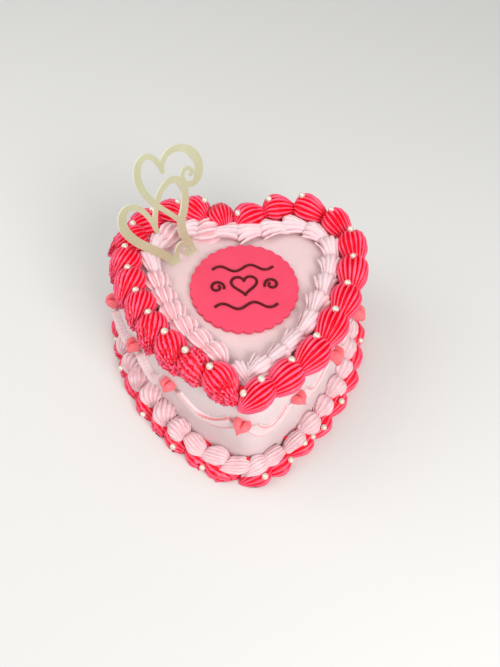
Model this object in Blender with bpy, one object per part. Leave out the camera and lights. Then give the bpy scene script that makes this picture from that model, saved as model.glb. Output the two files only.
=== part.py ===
"""A heart shaped buttercream cake, built in metres with +Z up.

The cake stands on z = 0 with its point towards -Y, its notch towards +Y and x = 0 through both.
One smooth heart shaped body carries four borders of piped shells: a hot pink and a pale pink one on
its top edge, and the same two round its foot. Piped swags hang on the wall between small piped
hearts. A scalloped disc of fondant lies on the top, and a cut-out of two open hearts stands in it.
"""

import math
import random
from collections import namedtuple

import bmesh
import bpy
from mathutils import Matrix, Vector
from mathutils.bvhtree import BVHTree

MM = 0.001

# A heart seen from above: a round lobe, a long side that runs to the point, and a fillet at the point.
# The borders were piped by hand along a rounder heart than the wall's.
Outline = namedtuple("Outline", "lobe_x lobe_y lobe_radius side_radius point_y point_radius")
WALL_OUTLINE = Outline(35.8 * MM, 19.6 * MM, 45.3 * MM, 176 * MM, -84.6 * MM, 14 * MM)
PIPED_OUTLINE = Outline(33 * MM, 21.5 * MM, 42 * MM, 135 * MM, -85.2 * MM, 14 * MM)
CAKE_HEIGHT = 76 * MM
NOTCH_FILLET = 6 * MM
CLEARANCE = 0.3 * MM
# Room cut for a neighbour before thinning, which moves a face by up to 0.2 mm.
CUT_CLEARANCE = 0.5 * MM
SHARPEST_BEND = 12 * MM
SHARPEST_POINT = 3 * MM
SMOOTH_ANGLE = math.radians(40)
CUTTER_DEPTH = 40 * MM
CUTTER_WIDTH = 400 * MM

# A shell's axis lies at its lift above its base, and its groove is a share of its radius.
ShellShape = namedtuple("ShellShape", "length width height lift ridges rings groove")
TOP_SHELL = ShellShape(28 * MM, 20 * MM, 16 * MM, 5 * MM, 8, 5, 0.2)
INNER_SHELL = ShellShape(21 * MM, 15 * MM, 10.5 * MM, 2 * MM, 6, 4, 0.2)
FOOT_SHELL = ShellShape(27 * MM, 23 * MM, 13.5 * MM, 3.5 * MM, 6, 4, 0.16)
UPPER_FOOT_SHELL = ShellShape(23 * MM, 18 * MM, 16 * MM, 7 * MM, 6, 4, 0.18)

# A path round the cake: how far outside its outline it runs, and the radius of its bend at the notch.
HeartPath = namedtuple("HeartPath", "outline offset notch_radius")
WALL = HeartPath(WALL_OUTLINE, 0, NOTCH_FILLET)

# A row of shells: its path, the point that the path is centred on, the shells' shape, how many there
# are on each side between notch and point, and how far the tails on the left are turned outwards.
Row = namedtuple("Row", "path centre shape right_count left_count left_turn seed")
TOP_ROW = Row(
    HeartPath(PIPED_OUTLINE, -2.5 * MM, 10 * MM), Vector((0.5 * MM, 4.5 * MM, CAKE_HEIGHT)),
    TOP_SHELL, 11, 12, math.radians(24), 3,
)
INNER_ROW = Row(
    HeartPath(PIPED_OUTLINE, -17.5 * MM, 130 * MM), Vector((1.5 * MM, 3.5 * MM, CAKE_HEIGHT)),
    INNER_SHELL, 12, 13, math.radians(-25), 5,
)
FOOT_ROW = Row(
    HeartPath(PIPED_OUTLINE, 9.5 * MM, 2 * MM), Vector((0, 0, 0)),
    FOOT_SHELL, 14, 15, math.radians(8), 7,
)
UPPER_FOOT_ROW = Row(
    HeartPath(PIPED_OUTLINE, 8.5 * MM, 2 * MM), Vector((0, 0, 8 * MM)),
    UPPER_FOOT_SHELL, 16, 17, math.radians(18), 11,
)
# The borders are turned a little, so that their points lie left of the wall's.
ROW_TURN = math.radians(-1.5)

# A shell's girth falls from head to tail, and is fullest about two fifths of the way along.
FULLNESS = 1.2
TAPER = 0.46

PEARL_RADIUS = 2 * MM
PEARL_SINK = 0.7 * MM
TOP_PEARL_BACK = 3 * MM
TOP_PEARL_FRONT = -3 * MM
FOOT_PEARL_OFFSET = 8 * MM

# How many triangles each fused piece is thinned to.
TOP_TRIANGLES = 4000
INNER_TRIANGLES = 2000
FOOT_TRIANGLES = 1700
UPPER_FOOT_TRIANGLES = 2300
HEART_TRIANGLES = 60
SWAG_TRIANGLES = 80
PLAQUE_TRIANGLES = 700
TOPPER_TRIANGLES = 800

# The wall's piped hearts on each side: distance from the notch along the wall, and height, in mm.
HEARTS_RIGHT = ((28, 57), (64, 57), (100, 56), (137, 53), (177, 60), (214, 58))
HEARTS_LEFT = ((14, 57), (48, 57), (82, 56), (117, 55), (152, 52), (188, 51), (241, 60))
HEART_LOBE = ShellShape(11 * MM, 5.6 * MM, 5 * MM, 1.2 * MM, 4, 4, 0.0)
HEART_SPREAD = math.radians(24)
HEART_LOBE_SPACING = 0.42
# One lobe is a little larger than the other, as piped ones are.
HEART_UNEVENNESS = 0.03
SWAG_THICKNESS = 3.6 * MM
SWAG_HALF_WIDTH = 5.2 * MM
SWAG_DROOP = 15 * MM
SWAG_END_GAP = 5.5 * MM
SWAG_BELOW_HEART = 3 * MM
SWAG_RIDGES = 4
SWAG_RINGS = 9
SWAG_GROOVE = 0.3
SWAG_BLUNTNESS = 0.4

PLAQUE_CENTRE = Vector((2 * MM, 1 * MM, 0))
PLAQUE_RADIUS = 34 * MM
PLAQUE_SCALLOPS = 30
PLAQUE_SCALLOP_DEPTH = 1.3 * MM
PLAQUE_THICKNESS = 3 * MM

# The flourish on the disc, from its centre: a heart, a wave above and below, a scroll on each side.
FLOURISH_RADIUS = 0.8 * MM
FLOURISH_LIFT = 0.1 * MM
FLOURISH_HEART_SCALE = 0.5 * MM
FLOURISH_HEART_POINTS = 14
WAVE_HEIGHTS = (14 * MM, -15 * MM)
WAVE_STEP = 3.2 * MM
WAVE_POINTS = 13
WAVE_DEPTH = 2.2 * MM
SCROLL_X = 17 * MM
SCROLL_REACH = 4.6 * MM
SCROLL_CLOSING = 0.45 * MM
SCROLL_POINTS = 8
SCROLL_START = math.radians(200)
SCROLL_STEP = math.radians(62)

# The cut-out's plate: where its point touches the cake, the way its foot runs, and how it leans back.
TOPPER_FOOT = Vector((-41.6 * MM, 23.6 * MM, CAKE_HEIGHT))
TOPPER_TURN = math.radians(35.5)
TOPPER_LEAN = math.radians(20)
TOPPER_THICKNESS = 1.5 * MM
TOPPER_DEPTH = 5 * MM
TOPPER_FEET = ((-2.2 * MM, 6.4 * MM), (14.2 * MM, 19.4 * MM))


def clear_scene():
    for obj in list(bpy.data.objects):
        bpy.data.objects.remove(obj, do_unlink=True)


def new_collection(name):
    collection = bpy.data.collections.new(name)
    bpy.context.scene.collection.children.link(collection)
    return collection


def material(name, colour, roughness, metallic=0.0):
    made = bpy.data.materials.new(name)
    made.use_nodes = True
    shader = made.node_tree.nodes["Principled BSDF"]
    shader.inputs["Base Color"].default_value = (*colour, 1)
    shader.inputs["Roughness"].default_value = roughness
    shader.inputs["Metallic"].default_value = metallic
    return made


def add_object(name, mesh, collection):
    obj = bpy.data.objects.new(name, mesh)
    collection.objects.link(obj)
    return obj


def evaluated_mesh(obj):
    """The object's mesh with its modifiers applied, in the object's own coordinates."""
    bpy.context.view_layer.update()
    graph = bpy.context.evaluated_depsgraph_get()
    return bpy.data.meshes.new_from_object(obj.evaluated_get(graph))


def joined(name, pieces):
    """One mesh object made of overlapping pieces, by one union on their collection."""
    first = pieces[0]
    extra = new_collection(name + " pieces")
    for piece in pieces[1:]:
        for holder in list(piece.users_collection):
            holder.objects.unlink(piece)
        extra.objects.link(piece)
    union = first.modifiers.new("Join", "BOOLEAN")
    union.operation = "UNION"
    union.operand_type = "COLLECTION"
    union.collection = extra
    union.solver = "EXACT"
    mesh = evaluated_mesh(first)
    mesh.transform(first.matrix_world)
    for piece in pieces:
        bpy.data.objects.remove(piece, do_unlink=True)
    bpy.data.collections.remove(extra)
    return add_object(name, mesh, PARTS)


def cut_away(obj, cutters):
    """Takes each cutter out of the object and keeps only the largest body that is left."""
    for cutter in cutters:
        cut = obj.modifiers.new("Clear of " + cutter.name, "BOOLEAN")
        cut.operation = "DIFFERENCE"
        cut.object = cutter
        cut.solver = "EXACT"
    mesh = evaluated_mesh(obj)
    obj.modifiers.clear()
    obj.data = mesh
    keep_largest_body(mesh)


def keep_largest_body(mesh):
    """Drops the loose scraps that cutting leaves."""
    bm = bmesh.new()
    bm.from_mesh(mesh)
    bmesh.ops.remove_doubles(bm, verts=bm.verts, dist=0.001 * MM)
    unseen = set(bm.verts)
    bodies = []
    while unseen:
        body = set()
        edge = [unseen.pop()]
        while edge:
            vert = edge.pop()
            body.add(vert)
            for link in vert.link_edges:
                other = link.other_vert(vert)
                if other in unseen:
                    unseen.discard(other)
                    edge.append(other)
        bodies.append(body)
    bodies.sort(key=len)
    for body in bodies[:-1]:
        bmesh.ops.delete(bm, geom=list(body), context="VERTS")
    bm.to_mesh(mesh)
    bm.free()


def thinned(obj, triangles):
    """Brings a fused piece down to about a number of triangles, least where its form is plain."""
    present = sum(len(face.vertices) - 2 for face in obj.data.polygons)
    if present <= triangles:
        return
    fewer = obj.modifiers.new("Fewer", "DECIMATE")
    fewer.ratio = triangles / present
    mesh = evaluated_mesh(obj)
    obj.modifiers.clear()
    obj.data = mesh


def finish_part(obj, finish):
    obj.data.materials.clear()
    obj.data.materials.append(finish)
    obj.data.shade_smooth()
    obj.data.set_sharp_from_angle(angle=SMOOTH_ANGLE)


def as_cutter(obj):
    for holder in list(obj.users_collection):
        holder.objects.unlink(obj)
    CUTTERS.objects.link(obj)
    obj.hide_render = True
    obj.display_type = "WIRE"
    return obj


def heart_arcs(path):
    """The arcs of the right half as (centre, radius, start angle, end angle), from the notch to the point.

    The side arc touches the lobe arc from inside, and both grow by the offset. The point's fillet keeps
    a small radius where the offset would close it.
    """
    heart = path.outline
    lobe = Vector((heart.lobe_x, heart.lobe_y))
    point = Vector((0, heart.point_y))
    apart = (point - lobe).length
    inner = heart.side_radius - heart.lobe_radius
    along = (inner**2 - heart.side_radius**2 + apart**2) / (2 * apart)
    across = math.sqrt(inner**2 - along**2)
    towards = (point - lobe) / apart
    side = lobe + along * towards + across * Vector((towards.y, -towards.x))
    lobe_radius = heart.lobe_radius + path.offset
    side_radius = heart.side_radius + path.offset
    point_radius = max(heart.point_radius + path.offset, SHARPEST_POINT)
    notch = Vector((0, lobe.y + math.sqrt((lobe_radius + path.notch_radius) ** 2 - lobe.x**2)))
    fillet = Vector((0, side.y - math.sqrt((side_radius - point_radius) ** 2 - side.x**2)))
    down = -math.pi / 2
    to_lobe = lobe - notch
    notch_end = math.atan2(to_lobe.y, to_lobe.x)
    meeting = lobe - side
    lobe_end = math.atan2(meeting.y, meeting.x)
    closing = fillet - side
    side_end = math.atan2(closing.y, closing.x)
    return [
        (notch, path.notch_radius, down, notch_end),
        (lobe, lobe_radius, notch_end + math.pi, lobe_end),
        (side, side_radius, lobe_end, side_end),
        (fillet, point_radius, side_end, down),
    ]


def arc_length(arc):
    return arc[1] * abs(arc[3] - arc[2])


def half_length(path):
    return sum(arc_length(arc) for arc in heart_arcs(path))


def on_outline(path, distance, side):
    """The point at a distance from the notch along one half, and the heading there.

    side is 1 on the right and -1 on the left. The heading points from notch to point.
    """
    arcs = heart_arcs(path)
    left_over = min(max(distance, 0), half_length(path))
    for arc in arcs:
        centre, radius, start, end = arc
        if left_over <= arc_length(arc) or arc is arcs[-1]:
            break
        left_over -= arc_length(arc)
    turning = 1 if end > start else -1
    angle = start + turning * left_over / radius
    place = centre + radius * Vector((math.cos(angle), math.sin(angle)))
    heading = angle + turning * math.pi / 2
    if side < 0:
        return Vector((-place.x, place.y)), math.pi - heading
    return place, heading


def shell_heading(path, distance, side):
    """The way a shell points: a shell doesn't bend, so at the notch and the point it keeps straight on."""
    arcs = heart_arcs(path)
    first = min(arc_length(arcs[0]), SHARPEST_BEND)
    last = half_length(path) - arc_length(arcs[-1])
    return on_outline(path, min(max(distance, first), last), side)[1]


def outward(heading, side):
    """The direction away from the cake, square to a heading."""
    angle = heading + side * math.pi / 2
    return Vector((math.cos(angle), math.sin(angle)))


def heart_polygon(path, steps=(4, 18, 13, 5)):
    """The whole outline as points, anticlockwise, with a number of steps for each arc."""
    right = []
    for (centre, radius, start, end), count in zip(heart_arcs(path), steps):
        for i in range(count):
            angle = start + (end - start) * i / count
            right.append(centre + radius * Vector((math.cos(angle), math.sin(angle))))
    point_arc = heart_arcs(path)[-1]
    right.append(point_arc[0] + Vector((0, -point_arc[1])))
    left = [Vector((-place.x, place.y)) for place in right[1:-1]]
    return list(reversed(right)) + left


def flat_plate(name, outlines, thickness, collection):
    """A plate standing up from z = 0 by its thickness, with its flat outline filled."""
    curve = bpy.data.curves.new(name, "CURVE")
    curve.dimensions = "2D"
    curve.fill_mode = "BOTH"
    curve.extrude = thickness / 2
    for outline in outlines:
        spline = curve.splines.new("POLY")
        spline.points.add(len(outline) - 1)
        spline.use_cyclic_u = True
        for point, place in zip(spline.points, outline):
            point.co = (place.x, place.y, 0, 1)
    guide = add_object(name + " outline", curve, collection)
    mesh = evaluated_mesh(guide)
    bpy.data.objects.remove(guide, do_unlink=True)
    bm = bmesh.new()
    bm.from_mesh(mesh)
    bmesh.ops.remove_doubles(bm, verts=bm.verts, dist=0.01 * MM)
    bmesh.ops.translate(bm, verts=bm.verts, vec=(0, 0, thickness / 2))
    bmesh.ops.recalc_face_normals(bm, faces=bm.faces)
    bm.to_mesh(mesh)
    bm.free()
    return add_object(name, mesh, collection)


def tube(name, places, radius, collection):
    """A closed tube with four sides along points."""
    curve = bpy.data.curves.new(name, "CURVE")
    curve.dimensions = "3D"
    curve.use_fill_caps = True
    curve.twist_mode = "Z_UP"
    curve.bevel_depth = radius
    curve.bevel_resolution = 0
    spline = curve.splines.new("POLY")
    spline.points.add(len(places) - 1)
    for point, place in zip(spline.points, places):
        point.co = (*place, 1)
    guide = add_object(name + " guide", curve, collection)
    mesh = evaluated_mesh(guide)
    bpy.data.objects.remove(guide, do_unlink=True)
    bm = bmesh.new()
    bm.from_mesh(mesh)
    bmesh.ops.remove_doubles(bm, verts=bm.verts, dist=0.01 * MM)
    bmesh.ops.recalc_face_normals(bm, faces=bm.faces)
    bm.to_mesh(mesh)
    bm.free()
    return add_object(name, mesh, collection)


def piped_shell(name, shape, grow=0.0):
    """A shell of icing along X: a round ridged head at -X that is drawn out to a low tail at +X.

    It starts as a sphere whose poles become the head's front and the tail's end. grow swells it by a
    clearance and leaves the grooves out, for cutting room in a neighbour.
    """
    bm = bmesh.new()
    bmesh.ops.create_uvsphere(bm, u_segments=2 * shape.ridges, v_segments=shape.rings, radius=1)
    half_width = shape.width / 2 + grow
    half_height = shape.height - shape.lift + grow
    for vert in bm.verts:
        from_head = (1 - vert.co.z) / 2
        around = math.atan2(vert.co.y, vert.co.x)
        girth = math.hypot(vert.co.x, vert.co.y) * (FULLNESS - TAPER * from_head)
        in_groove = round((around - math.pi / 2) / (math.pi / shape.ridges)) % 2
        if in_groove and grow == 0:
            girth *= 1 - shape.groove
        axis_height = shape.lift * (1 - from_head**2)
        vert.co = Vector((
            (from_head - 0.5) * (shape.length + 2 * grow),
            half_width * girth * math.cos(around),
            axis_height + half_height * girth * math.sin(around),
        ))
    bmesh.ops.reverse_faces(bm, faces=bm.faces)
    mesh = bpy.data.meshes.new(name)
    bm.to_mesh(mesh)
    bm.free()
    return add_object(name, mesh, PARTS)


def row_stops(row):
    """Where each shell of a row is: side, distance from the notch, size share, small turn and shift.

    The right half was piped last, so its last shell lies over the point.
    """
    draw = random.Random(row.seed)
    half = half_length(row.path)
    stops = []
    for side, count in ((-1, row.left_count), (1, row.right_count)):
        for i in range(count):
            if side > 0:
                distance = half * (i + 0.5) / (count - 0.5)
            else:
                distance = half * (i + 0.8) / (count + 0.8)
            size = draw.uniform(0.95, 1.05)
            turn = math.radians(draw.uniform(-5, 5))
            shift = draw.uniform(-0.6, 0.6) * MM
            stops.append((side, distance, size, turn, shift))
    return stops


def row_matrix(row):
    """From a row's path in the plane to its place on the cake."""
    return Matrix.Translation(row.centre) @ Matrix.Rotation(ROW_TURN, 4, "Z")


def piped_row(name, row, grow=0.0):
    """The shells of one border, each laid along the outline where its stop says."""
    shells = []
    for i, (side, distance, size, turn, shift) in enumerate(row_stops(row)):
        shell = piped_shell(f"{name} {i}", row.shape, grow)
        place, _ = on_outline(row.path, distance, side)
        heading = shell_heading(row.path, distance, side)
        place += shift * outward(heading, side)
        if side < 0:
            turn -= row.left_turn
        laid = Matrix.Translation((place.x, place.y, 0)) @ Matrix.Rotation(heading + turn, 4, "Z")
        shell.matrix_world = row_matrix(row) @ laid @ Matrix.Scale(size, 4)
        shells.append(shell)
    return shells


def surface_of(pieces):
    """The pieces' faces as one tree for finding the height of the icing under a pearl."""
    verts = []
    faces = []
    for piece in pieces:
        start = len(verts)
        verts += [piece.matrix_world @ vert.co for vert in piece.data.vertices]
        faces += [[start + index for index in face.vertices] for face in piece.data.polygons]
    return BVHTree.FromPolygons(verts, faces)


def pearl_centres(places, pieces):
    """Where sugar pearls at plan places lie once they are pressed a little into the icing below."""
    bpy.context.view_layer.update()
    icing = surface_of(pieces)
    centres = []
    for place in places:
        hit, _, _, _ = icing.ray_cast(Vector((place.x, place.y, 1)), Vector((0, 0, -1)))
        if hit is not None:
            centres.append(hit + Vector((0, 0, PEARL_RADIUS - PEARL_SINK)))
    return centres


def sugar_pearls(name, centres, grow=0.0):
    """Sugar pearls as separate spheres, or larger ones that cut room for them in a neighbour."""
    pearls = []
    for i, centre in enumerate(centres):
        bm = bmesh.new()
        bmesh.ops.create_uvsphere(bm, u_segments=6, v_segments=4, radius=PEARL_RADIUS + grow)
        bmesh.ops.translate(bm, verts=bm.verts, vec=centre)
        mesh = bpy.data.meshes.new(f"{name} {i}")
        bm.to_mesh(mesh)
        bm.free()
        pearls.append(add_object(f"{name} {i}", mesh, PARTS))
    return pearls


def top_pearl_places():
    """One pearl at each meeting of two shells, further out at the back and further in at the front."""
    places = []
    half = half_length(TOP_ROW.path)
    for side, count in ((-1, TOP_ROW.left_count), (1, TOP_ROW.right_count)):
        for i in range(count - 1):
            if side > 0:
                distance = half * (i + 1.1) / (count - 0.5)
            else:
                distance = half * (i + 1.35) / (count + 0.8)
            share = distance / half
            out = TOP_PEARL_BACK + (TOP_PEARL_FRONT - TOP_PEARL_BACK) * share
            place, heading = on_outline(TOP_ROW.path, distance, side)
            place += out * outward(heading, side)
            places.append(row_matrix(TOP_ROW) @ place.to_3d())
    notch, _ = on_outline(TOP_ROW.path, 0, 1)
    places.append(row_matrix(TOP_ROW) @ notch.to_3d())
    return places


def foot_pearl_places():
    """A pearl at every second meeting of the foot's shells, low on its outer shoulder."""
    places = []
    half = half_length(FOOT_ROW.path)
    for side, count in ((-1, FOOT_ROW.left_count), (1, FOOT_ROW.right_count)):
        for i in range(1, count, 2):
            place, heading = on_outline(FOOT_ROW.path, half * i / count, side)
            place += FOOT_PEARL_OFFSET * outward(heading, side)
            places.append(row_matrix(FOOT_ROW) @ place.to_3d())
    return places


def piped_heart(name, distance, side, height):
    """A small heart on the wall: two teardrops of icing whose tails meet at its point."""
    place, heading = on_outline(WALL, distance, side)
    away = outward(heading, side)
    across = Vector((math.cos(heading), math.sin(heading), 0))
    out = Vector((away.x, away.y, 0))
    up = Vector((0, 0, 1))
    wall = Matrix((
        (-up.x, across.x, out.x, place.x),
        (-up.y, across.y, out.y, place.y),
        (-up.z, across.z, out.z, height),
        (0, 0, 0, 1),
    ))
    lobes = []
    for way in (-1, 1):
        lobe = piped_shell(f"{name} lobe {way}", HEART_LOBE)
        size = Matrix.Scale(1 + HEART_UNEVENNESS * way, 4)
        spread = Matrix.Rotation(-way * HEART_SPREAD, 4, "Z") @ size
        shift = Matrix.Translation((0, way * HEART_LOBE.width * HEART_LOBE_SPACING, 0))
        flip = Matrix.Scale(1, 4)
        if wall.to_3x3().determinant() < 0:
            flip = Matrix.Scale(-1, 4, (0, 1, 0))
        lobe.matrix_world = wall @ flip @ shift @ spread
        lobes.append(lobe)
    heart = joined(name, lobes)
    cut_away(heart, [wall_room])
    thinned(heart, HEART_TRIANGLES)
    finish_part(heart, coral_icing)


def round_the_wall(distance):
    """The point on the wall and the direction away from it, at a distance clockwise from the notch."""
    half = half_length(WALL)
    distance %= 2 * half
    side = 1 if distance <= half else -1
    place, heading = on_outline(WALL, min(distance, 2 * half - distance), side)
    return place, outward(heading, side)


def swag(name, start, end, start_height, end_height):
    """A ridged line of icing that droops on the wall between two hearts, at distances round the wall.

    It starts as a sphere whose poles are drawn out to the line's two ends.
    """
    start += SWAG_END_GAP
    end -= SWAG_END_GAP
    bm = bmesh.new()
    bmesh.ops.create_uvsphere(bm, u_segments=2 * SWAG_RIDGES, v_segments=SWAG_RINGS, radius=1)
    up = Vector((0, 0, 1))
    for vert in bm.verts:
        share = math.acos(max(-1, min(1, vert.co.z))) / math.pi
        around = math.atan2(vert.co.y, vert.co.x) + math.pi / (2 * SWAG_RIDGES)
        girth = math.sin(math.pi * share) ** SWAG_BLUNTNESS
        if round((around - math.pi / (2 * SWAG_RIDGES)) / (math.pi / SWAG_RIDGES)) % 2:
            girth *= 1 - SWAG_GROOVE
        place, away = round_the_wall(start + (end - start) * share)
        out = Vector((away.x, away.y, 0))
        sag = SWAG_DROOP * (1 - (2 * share - 1) ** 2)
        height = start_height + (end_height - start_height) * share - SWAG_BELOW_HEART - sag
        vert.co = Vector((place.x, place.y, height))
        vert.co += girth * SWAG_HALF_WIDTH * math.cos(around) * up
        vert.co += girth * SWAG_THICKNESS * math.sin(around) * out
    mesh = bpy.data.meshes.new(name)
    bm.to_mesh(mesh)
    bm.free()
    line = add_object(name, mesh, PARTS)
    cut_away(line, [wall_room])
    thinned(line, SWAG_TRIANGLES)
    finish_part(line, swag_icing)


def scalloped_outline(radius, count, depth, steps=3):
    """A round outline with small half round scallops."""
    places = []
    for i in range(count * steps):
        angle = 2 * math.pi * i / (count * steps)
        bulge = math.sin(math.pi * (i % steps) / steps)
        reach = radius - depth * (1 - bulge)
        places.append(Vector((reach * math.cos(angle), reach * math.sin(angle))))
    return places


def smooth_line(places, steps):
    """Points on a smooth curve through the given ones, with their last value, a width, eased too."""
    ends = [places[0]] + list(places) + [places[-1]]
    line = []
    for before, a, b, after in zip(ends, ends[1:], ends[2:], ends[3:]):
        for i in range(steps):
            t = i / steps
            line.append(tuple(
                0.5 * (2 * p1 + (p2 - p0) * t + (2 * p0 - 5 * p1 + 4 * p2 - p3) * t**2
                       + (3 * p1 - p0 - 3 * p2 + p3) * t**3)
                for p0, p1, p2, p3 in zip(before, a, b, after)
            ))
    line.append(tuple(places[-1]))
    return line


def ribbon_outline(line):
    """The outline of a flat stroke: each point of the line is (x, y, stroke width)."""
    left = []
    right = []
    for i, (x, y, width) in enumerate(line):
        before = line[max(i - 1, 0)]
        after = line[min(i + 1, len(line) - 1)]
        along = Vector((after[0] - before[0], after[1] - before[1])).normalized()
        across = Vector((-along.y, along.x)) * width / 2
        left.append(Vector((x, y)) + across)
        right.append(Vector((x, y)) - across)
    return right + list(reversed(left))


def plaque_flourish():
    """A piped heart with a scroll on each side, between two long waves, as tubes on the disc's top."""
    top = CAKE_HEIGHT + CLEARANCE + PLAQUE_THICKNESS
    heart = []
    for i in range(FLOURISH_HEART_POINTS):
        t = math.pi * (2 * i / (FLOURISH_HEART_POINTS - 1) - 1)
        x = 16 * math.sin(t) ** 3
        y = 13 * math.cos(t) - 5 * math.cos(2 * t) - 2 * math.cos(3 * t) - math.cos(4 * t)
        heart.append((x * FLOURISH_HEART_SCALE, (y + 2) * FLOURISH_HEART_SCALE))
    lines = [heart]
    for height in WAVE_HEIGHTS:
        wave = []
        for i in range(WAVE_POINTS):
            x = (i - (WAVE_POINTS - 1) / 2) * WAVE_STEP
            wave.append((x, height + WAVE_DEPTH * math.sin(i * math.pi / 3)))
        lines.append(wave)
    for way in (-1, 1):
        scroll = []
        for i in range(SCROLL_POINTS):
            angle = SCROLL_START - i * SCROLL_STEP
            reach = SCROLL_REACH - i * SCROLL_CLOSING
            scroll.append((way * (SCROLL_X + reach * math.cos(angle)), reach * math.sin(angle)))
        lines.append(scroll)
    pieces = []
    for i, line in enumerate(lines):
        places = []
        for x, y in line:
            places.append(PLAQUE_CENTRE + Vector((x, y, top + FLOURISH_LIFT)))
        pieces.append(tube(f"flourish {i}", places, FLOURISH_RADIUS, PARTS))
    return pieces


def topper_lines():
    """The strokes of the two open hearts on the plate, as (across, up, stroke width) in millimetres."""
    lower_left = [(-2.5, 26, 3), (-4.5, 37, 3), (-9, 46.5, 3.6), (-15.5, 49.7, 4), (-20.7, 46, 5),
                  (-21.7, 38, 5.6), (-17.5, 28, 5.6), (-9.5, 17.5, 5.5), (-3, 9, 5.4), (2.6, -1, 5),
                  (3.4, -TOPPER_DEPTH / MM, 5)]
    lower_right = [(-3.4, 28.5, 2.6), (0, 38, 3), (6, 47.5, 3.4), (14.5, 52.4, 3.8), (21, 50, 4.6),
                   (23, 42, 5), (19.5, 32, 5), (14.6, 24.5, 5.4), (13.4, 16, 5.6), (15.4, 8.5, 4.4),
                   (16.8, 0, 4), (16.8, -TOPPER_DEPTH / MM, 4)]
    foot_curl = [(3.4, -2, 4), (5, 5.5, 3.8), (9.5, 9.6, 3.8), (14.5, 7.6, 3.8)]
    inner_curl = [(16.5, 2, 2.4), (12.5, 1.9, 2.2), (10.6, 4, 2.2), (13, 5.4, 2)]
    upper_left = [(14.5, 25, 3.6), (8.5, 34, 3.2), (2, 43.5, 3.6), (-2.4, 53, 4.2), (-3.5, 62, 4.6),
                  (-0.5, 69.5, 4), (5, 72.4, 3.4), (10, 69.5, 3.2), (12.2, 64, 3), (13, 58.6, 2.6)]
    upper_right = [(12.6, 60, 2.6), (15, 65, 3), (19.5, 68.2, 3.4), (26, 68.4, 4), (33, 64.6, 5),
                   (37, 57, 5.8), (36, 48.5, 5.6), (31.2, 44, 4), (26.2, 45, 3.6), (24, 49.6, 3),
                   (26, 53.8, 2.6), (29.8, 54, 2.4), (31.8, 50.8, 2.2), (29.4, 49.2, 2)]
    return [lower_left, lower_right, foot_curl, inner_curl, upper_left, upper_right]


def topper_matrix():
    """From the plate's own plane (x across, y up, z towards the front) to the cake."""
    along = Vector((math.cos(TOPPER_TURN), math.sin(TOPPER_TURN), 0))
    front = Vector((along.y, -along.x, 0))
    up = Vector((0, 0, math.cos(TOPPER_LEAN))) - front * math.sin(TOPPER_LEAN)
    face = along.cross(up)
    matrix = Matrix((along, up, face)).transposed().to_4x4()
    matrix.translation = TOPPER_FOOT
    return matrix


def on_topper(plate, thickness):
    """Stands a flat plate in the cut-out's place."""
    plate.data.transform(Matrix.Translation((0, 0, -thickness / 2)))
    plate.data.transform(topper_matrix())


def topper_plate():
    """The cut-out, as the union of its flat strokes."""
    strokes = []
    for i, line in enumerate(topper_lines()):
        places = [(x * MM, y * MM, width * MM) for x, y, width in smooth_line(line, 2)]
        strokes.append(flat_plate(f"stroke {i}", [ribbon_outline(places)], TOPPER_THICKNESS, PARTS))
    plate = joined("topper", strokes)
    on_topper(plate, TOPPER_THICKNESS)
    return plate


def topper_slots():
    """Room in the cake for the cut-out's two feet."""
    slots = []
    thickness = TOPPER_THICKNESS + 2 * CLEARANCE
    for i, (left, right) in enumerate(TOPPER_FEET):
        low = -TOPPER_DEPTH - CLEARANCE
        high = TOPPER_DEPTH
        outline = [Vector((left, low)), Vector((right, low)), Vector((right, high)), Vector((left, high))]
        slot = flat_plate(f"topper slot {i + 1}", [outline], thickness, PARTS)
        on_topper(slot, thickness)
        slots.append(as_cutter(slot))
    return slots


clear_scene()
PARTS = new_collection("Heart cake")
CUTTERS = new_collection("Cutters")

hot_icing = material("hot pink buttercream", (0.85, 0.05, 0.12), 0.5)
pale_icing = material("pale pink buttercream", (0.88, 0.62, 0.66), 0.5)
body_icing = material("blush buttercream", (0.84, 0.68, 0.67), 0.45)
swag_icing = material("swag buttercream", (0.88, 0.60, 0.64), 0.5)
coral_icing = material("coral buttercream", (0.86, 0.16, 0.20), 0.45)
fondant = material("rose fondant", (0.80, 0.06, 0.14), 0.55)
gold_acrylic = material("pale gold acrylic", (0.72, 0.66, 0.42), 0.3, 0.6)

# Room for the cake's body, which runs on below it so that no film of icing is left there.
room_path = HeartPath(WALL_OUTLINE, CUT_CLEARANCE, NOTCH_FILLET - CUT_CLEARANCE)
room_height = CUTTER_DEPTH + CAKE_HEIGHT + CLEARANCE
room_plate = flat_plate("wall room", [heart_polygon(room_path)], room_height, PARTS)
room_plate.data.transform(Matrix.Translation((0, 0, -CUTTER_DEPTH)))
wall_room = as_cutter(room_plate)

# Everything below the surface that the cake stands on.
bpy.ops.mesh.primitive_cube_add(size=1, location=(0, 0, -CUTTER_DEPTH / 2))
below = as_cutter(bpy.context.object)
below.name = "below the foot"
below.data.transform(Matrix.Diagonal((CUTTER_WIDTH, CUTTER_WIDTH, CUTTER_DEPTH, 1)))

# The top edge's hot pink border with its pearls.
top_shells = piped_row("top shell", TOP_ROW)
top_centres = pearl_centres(top_pearl_places(), top_shells)
top_border = joined("top_border", top_shells + sugar_pearls("top pearl", top_centres))
cut_away(top_border, [wall_room])
thinned(top_border, TOP_TRIANGLES)
finish_part(top_border, hot_icing)

# The pale border inside it gives way to the hot pink one.
top_room_shells = piped_row("top room shell", TOP_ROW, grow=CUT_CLEARANCE)
top_room_pearls = sugar_pearls("top room pearl", top_centres, CUT_CLEARANCE)
top_room = as_cutter(joined("top room", top_room_shells + top_room_pearls))
inner_border = joined("inner_border", piped_row("inner shell", INNER_ROW))
cut_away(inner_border, [wall_room, top_room])
thinned(inner_border, INNER_TRIANGLES)
finish_part(inner_border, pale_icing)

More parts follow.
